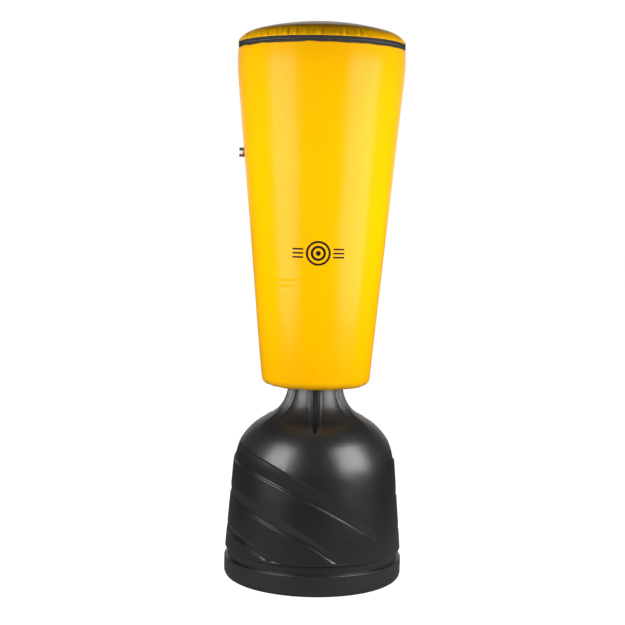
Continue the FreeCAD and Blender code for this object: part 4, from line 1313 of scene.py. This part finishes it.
def simulateLid():
    radii, heights, places = lidGrid()
    theta = np.linspace(0, 2 * math.pi, lid["columns"], endpoint=False)[None, :]
    points = turnedGrid(radii[:, None] + 0 * theta, heights[:, None], theta)
    flat = turnedGrid(places[:, None] + 0 * theta, 0 * heights[:, None] + lidLow[2], theta)
    relief = pleatRelief(theta, (places[-1] - places)[:, None])
    normals = outlineNormals(np.stack([radii, heights], -1))
    normals *= np.sign(normals[:, 1:].sum())
    points += turnedGrid(relief * normals[:, :1], relief * normals[:, 1:], theta)
    centre = len(points)
    points = np.vstack([points, [[0, 0, lidHigh[2]]]])
    flat = np.vstack([flat, [[0, 0, lidLow[2]]]])
    faces = gridFaces(lid["rows"], lid["columns"])
    for j in range(lid["columns"]):
        faces.append((centre, j, (j + 1) % lid["columns"]))
    cloth = newPiece("clothLid", points, faces, None)
    cloth.shape_key_add(name="gathered")
    cut = cloth.shape_key_add(name="flat")
    cut.data.foreach_set("co", flat.ravel())
    cut.value = 0.0
    rim = cloth.vertex_groups.new(name="rim")
    first = (lid["rows"] - 1) * lid["columns"]
    rim.add(list(range(first, first + lid["columns"])), 1.0, "REPLACE")
    modifier = addModifier(cloth, "CLOTH")
    settings = modifier.settings
    for key, value in lid["cloth"].items():
        setattr(settings, key, value)
    settings.vertex_group_mass = "rim"
    settings.rest_shape_key = cut
    settings.use_pressure = True
    settings.uniform_pressure_force = lid["pressure"]
    settings.effector_weights.gravity = 0.0
    modifier.collision_settings.use_collision = False
    scene = bpy.context.scene
    for number in range(1, lid["frames"] + 1):
        scene.frame_set(number)
    result = cloth.evaluated_get(bpy.context.evaluated_depsgraph_get())
    moved = np.empty(len(points) * 3)
    result.data.vertices.foreach_get("co", moved)
    travel = moved.reshape(-1, 3) - points
    scene.frame_set(1)
    bpy.data.objects.remove(cloth)
    far = np.linalg.norm(travel, axis=1, keepdims=True)
    print("lid moved at most", round(float(far.max()) * 1000, 1), "mm")
    travel *= np.minimum(1.0, lid["reach"] / np.maximum(far, 1e-9))
    return clearOfFoam(points + travel), faces


def makeLid():
    points, faces = simulateLid()
    piece = newPiece("vinylLid", points, faces, "lid")
    paint(piece, "vinyl")
    addModifier(piece, "SUBSURF", levels=1, render_levels=1)
    addModifier(piece, "SOLIDIFY", thickness=lid["thickness"], offset=-1.0)
    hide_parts("cover_lid")
    return piece, points[:-1].reshape(lid["rows"], lid["columns"], 3)


lidPiece, lidRows = makeLid()


# one row of stitches just above the zip, between the last rows of the lid's mesh
def addLidStitching():
    ring = lidRows[-2] * 0.55 + lidRows[-3] * 0.45
    ring = np.vstack([ring, ring[:1]])
    outward = ring * [1, 1, 0]
    outward /= np.linalg.norm(outward, axis=1, keepdims=True)
    outward = outward * 0.8 + np.array([0, 0, 0.6])
    ring = ring + outward * 0.0002
    addStitches("lidStitches", ring, outward, "lid", "thread")


addLidStitching()
print("lid made")

coil = {"pitch": 0.0026, "wire": 0.00055, "span": 320.0, "sides": 5, "perTurn": 8}


# a flattened coil of nylon wire sewn along the edge of its tape
def makeCoil(name, node, body, side):
    low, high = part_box(node)
    middle = (low[2] + high[2]) / 2
    tall = (high[2] - low[2]) / 2 - coil["wire"] * 0.55
    inner, outer = tapeRadius + 0.0001, high[0]
    deep = (outer - inner) / 2 - coil["wire"] * 0.55
    radius = (outer + inner) / 2
    length = math.radians(coil["span"]) * radius
    turns = int(length / coil["pitch"])
    steps = turns * coil["perTurn"]
    t = np.arange(steps + 1)
    swing = 2 * math.pi * t / coil["perTurn"]
    angle = np.radians(-90 - coil["span"] / 2) + math.radians(coil["span"]) * t / steps
    r = radius + deep * np.sin(swing)
    z = middle + side * tall * np.cos(swing)
    path = np.stack([r * np.cos(angle), r * np.sin(angle), z], -1)
    along = np.gradient(path, axis=0)
    along /= np.linalg.norm(along, axis=1, keepdims=True)
    out = np.stack([np.cos(angle), np.sin(angle), 0 * angle], -1)
    across = np.cross(along, out)
    across /= np.linalg.norm(across, axis=1, keepdims=True)
    up = np.cross(across, along)
    turn = 2 * math.pi * np.arange(coil["sides"]) / coil["sides"]
    wire = coil["wire"] / 2
    points = (
        path[:, None, :]
        + wire * np.cos(turn)[None, :, None] * across[:, None, :]
        + wire * np.sin(turn)[None, :, None] * up[:, None, :]
    )
    piece = newPiece(
        name, points.reshape(-1, 3), gridFaces(steps + 1, coil["sides"]), body
    )
    paint(piece, "nylon")
    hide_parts(node)


tape = {"thickness": 0.0008, "ribHeight": 0.00025, "ribSteps": 14, "columns": 240}


# a woven tape with fine ribs along it, round the top of the cover
def makeTape(name, node, body, span):
    low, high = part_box(node)
    inner, outer = tapeRadius - tape["thickness"], tapeRadius
    whole = span >= 360.0
    count = tape["columns"]
    azimuth = np.linspace(-span / 2, span / 2, count, endpoint=not whole)
    theta = np.radians(azimuth - 90)[None, :]
    tall = high[2] - low[2]
    rows = [(inner, low[2]), (inner, high[2]), (outer - 0.0001, high[2])]
    steps = tape["ribSteps"]
    for k in range(steps + 1):
        rib = tape["ribHeight"] * max(0.0, math.sin(k * math.pi / 2)) * (0 < k < steps)
        rows.append((outer - rib, high[2] - tall * k / steps))
    rows.append((inner, low[2]))
    outline = np.array(rows)
    r, z = outline[:, 0][:, None] + 0 * theta, outline[:, 1][:, None] + 0 * theta
    points = turnedGrid(r, z, theta)
    uvs = np.stack([(theta * outer + 0 * z).ravel(), z.ravel()], -1)
    piece = newPiece(name, points, gridFaces(len(outline), count, whole), body, uvs)
    paint(piece, "tape")
    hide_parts(node)


makeTape("zipTapeLower", "zip_tape_lower", "bag", 360.0)
makeTape("zipTapeUpper", "zip_tape_upper", "lid", 326.0)
makeCoil("zipCoilLower", "zip_coil_lower", "bag", 1)
makeCoil("zipCoilUpper", "zip_coil_upper", "lid", -1)
print("zip made")


# the fabric strip at the rear that the lid folds back on
hinge = {"radius": 0.2529, "bow": 0.0006, "spread": math.radians(18), "overlap": 0.0030,
         "grip": 0.002, "rows": 15, "columns": 24, "thickness": 0.0008}


def makeHingeTab():
    low, high = tabLow[2] - hinge["overlap"], tabHigh[2] + hinge["overlap"]
    rows, columns, half = hinge["rows"], hinge["columns"], hinge["spread"] / 2
    angles = np.linspace(math.pi / 2 - half, math.pi / 2 + half, columns)[None, :]
    share = np.linspace(0, 1, rows)[:, None]
    z = low + (high - low) * share + 0 * angles
    r = hinge["radius"] + hinge["bow"] * np.sin(share * math.pi) + 0 * angles
    points = turnedGrid(r, z, angles)
    uvs = np.stack([(angles * 0.25 + 0 * z).ravel(), z.ravel()], -1)
    piece = newPiece("lidHingeTab", points, gridFaces(rows, columns, False), None, uvs)
    paint(piece, "tab")
    addModifier(piece, "SOLIDIFY", thickness=hinge["thickness"], offset=1.0)
    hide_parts("lid_hinge_tab")
    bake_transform(piece)


makeHingeTab()


# a woven label folded over and caught in the side seam; shares of its height give the white
# field's and the red stripe's places and half widths
tag = {"inSeam": 0.003, "halfGap": 0.00062, "steps": 12, "rows": 10, "curl": 0.0012,
       "thickness": 0.0003, "field": (0.5, 0.17), "stripe": (0.24, 0.05), "border": 0.62}


def makeTag():
    low, high = Vector(tagLow), Vector(tagHigh)
    tall, reach = high.z - low.z, high.x - low.x + tag["inSeam"]
    half, steps, rows = tag["halfGap"], tag["steps"], tag["rows"]
    path = [(reach - reach * k / steps, half) for k in range(steps)]
    path += [
        (half - half * math.cos(a), half * math.sin(a))
        for a in np.linspace(math.pi * 0.42, -math.pi * 0.42, 5)
    ]
    path += [(reach * k / steps, -half) for k in range(1, steps + 1)]
    z = np.linspace(low.z, high.z, rows)
    curl = tag["curl"] * np.sin((z - low.z) / tall * math.pi)
    verts, uvs = [], []
    for level, bow in zip(z, curl):
        for x, y in path:
            sag = bow * (1 - x / reach) ** 2
            verts.append((low.x + x, y + sag, level))
            uvs.append((x, level - low.z))
    piece = newPiece(
        "sideTag", verts, gridFaces(rows, len(path), False), "bag", uvs
    )
    material, tree, shader, vector = startMaterial("wovenTag", "UV", Roughness=0.6)
    parts = addNode(tree, "SeparateXYZ")
    tree.links.new(vector, parts.inputs["Vector"])
    weave = placeGroup(tree, "weave", Vector=vector, Across=5200.0, Along=5200.0)
    dark = mixColors(tree, weave.outputs["Mask"], (0.012, 0.012, 0.013), (0.04, 0.04, 0.042))
    inset = maths(tree, "LESS_THAN", parts.outputs["X"], reach * tag["border"])
    color = dark
    for (place, width), dye in (
        (tag["field"], (0.75, 0.75, 0.74)), (tag["stripe"], (0.45, 0.03, 0.03))
    ):
        away = maths(tree, "SUBTRACT", parts.outputs["Y"], tall * place)
        band = maths(tree, "LESS_THAN", maths(tree, "ABSOLUTE", away), tall * width)
        color = mixColors(tree, maths(tree, "MULTIPLY", band, inset), color, dye)
    tree.links.new(color, shader.inputs["Base Color"])
    addBump(tree, shader, weave.outputs["Height"], 0.5, 0.0002)
    piece.data.materials.append(material)
    addModifier(piece, "SOLIDIFY", thickness=tag["thickness"], offset=0.0)
    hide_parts("side_tag")


makeTag()
print("tab and tag made")

nodeFinishes = {
    "water_ballast": "water",
    "filler_cap": "capHdpe",
    "filler_gasket": "rubber",
    "neck_inserts": "brass",
    "lower_mount_plate": "plateSteel",
    "upper_mount_plate": "plateSteel",
    "lower_washers": "zincSteel",
    "lower_plate_bolts": "zincSteel",
    "upper_washers": "zincSteel",
    "upper_plate_bolts": "zincSteel",
    "nut_washers": "zincSteel",
    "upper_plate_nuts": "zincSteel",
    "core_screws": "zincSteel",
    "core_flange": "core",
    "core_tube": "core",
    "core_cap": "core",
    "foam_sleeve": "foam",
    "foam_top_plug": "foam",
    "zip_stops": "zipMetal",
    "zip_slider": "zipMetal",
    "zip_pull": "zipMetal",
}
for node, finish in nodeFinishes.items():
    for slot in frame["nodes"][node].material_slots:
        slot.material = finishes[finish]
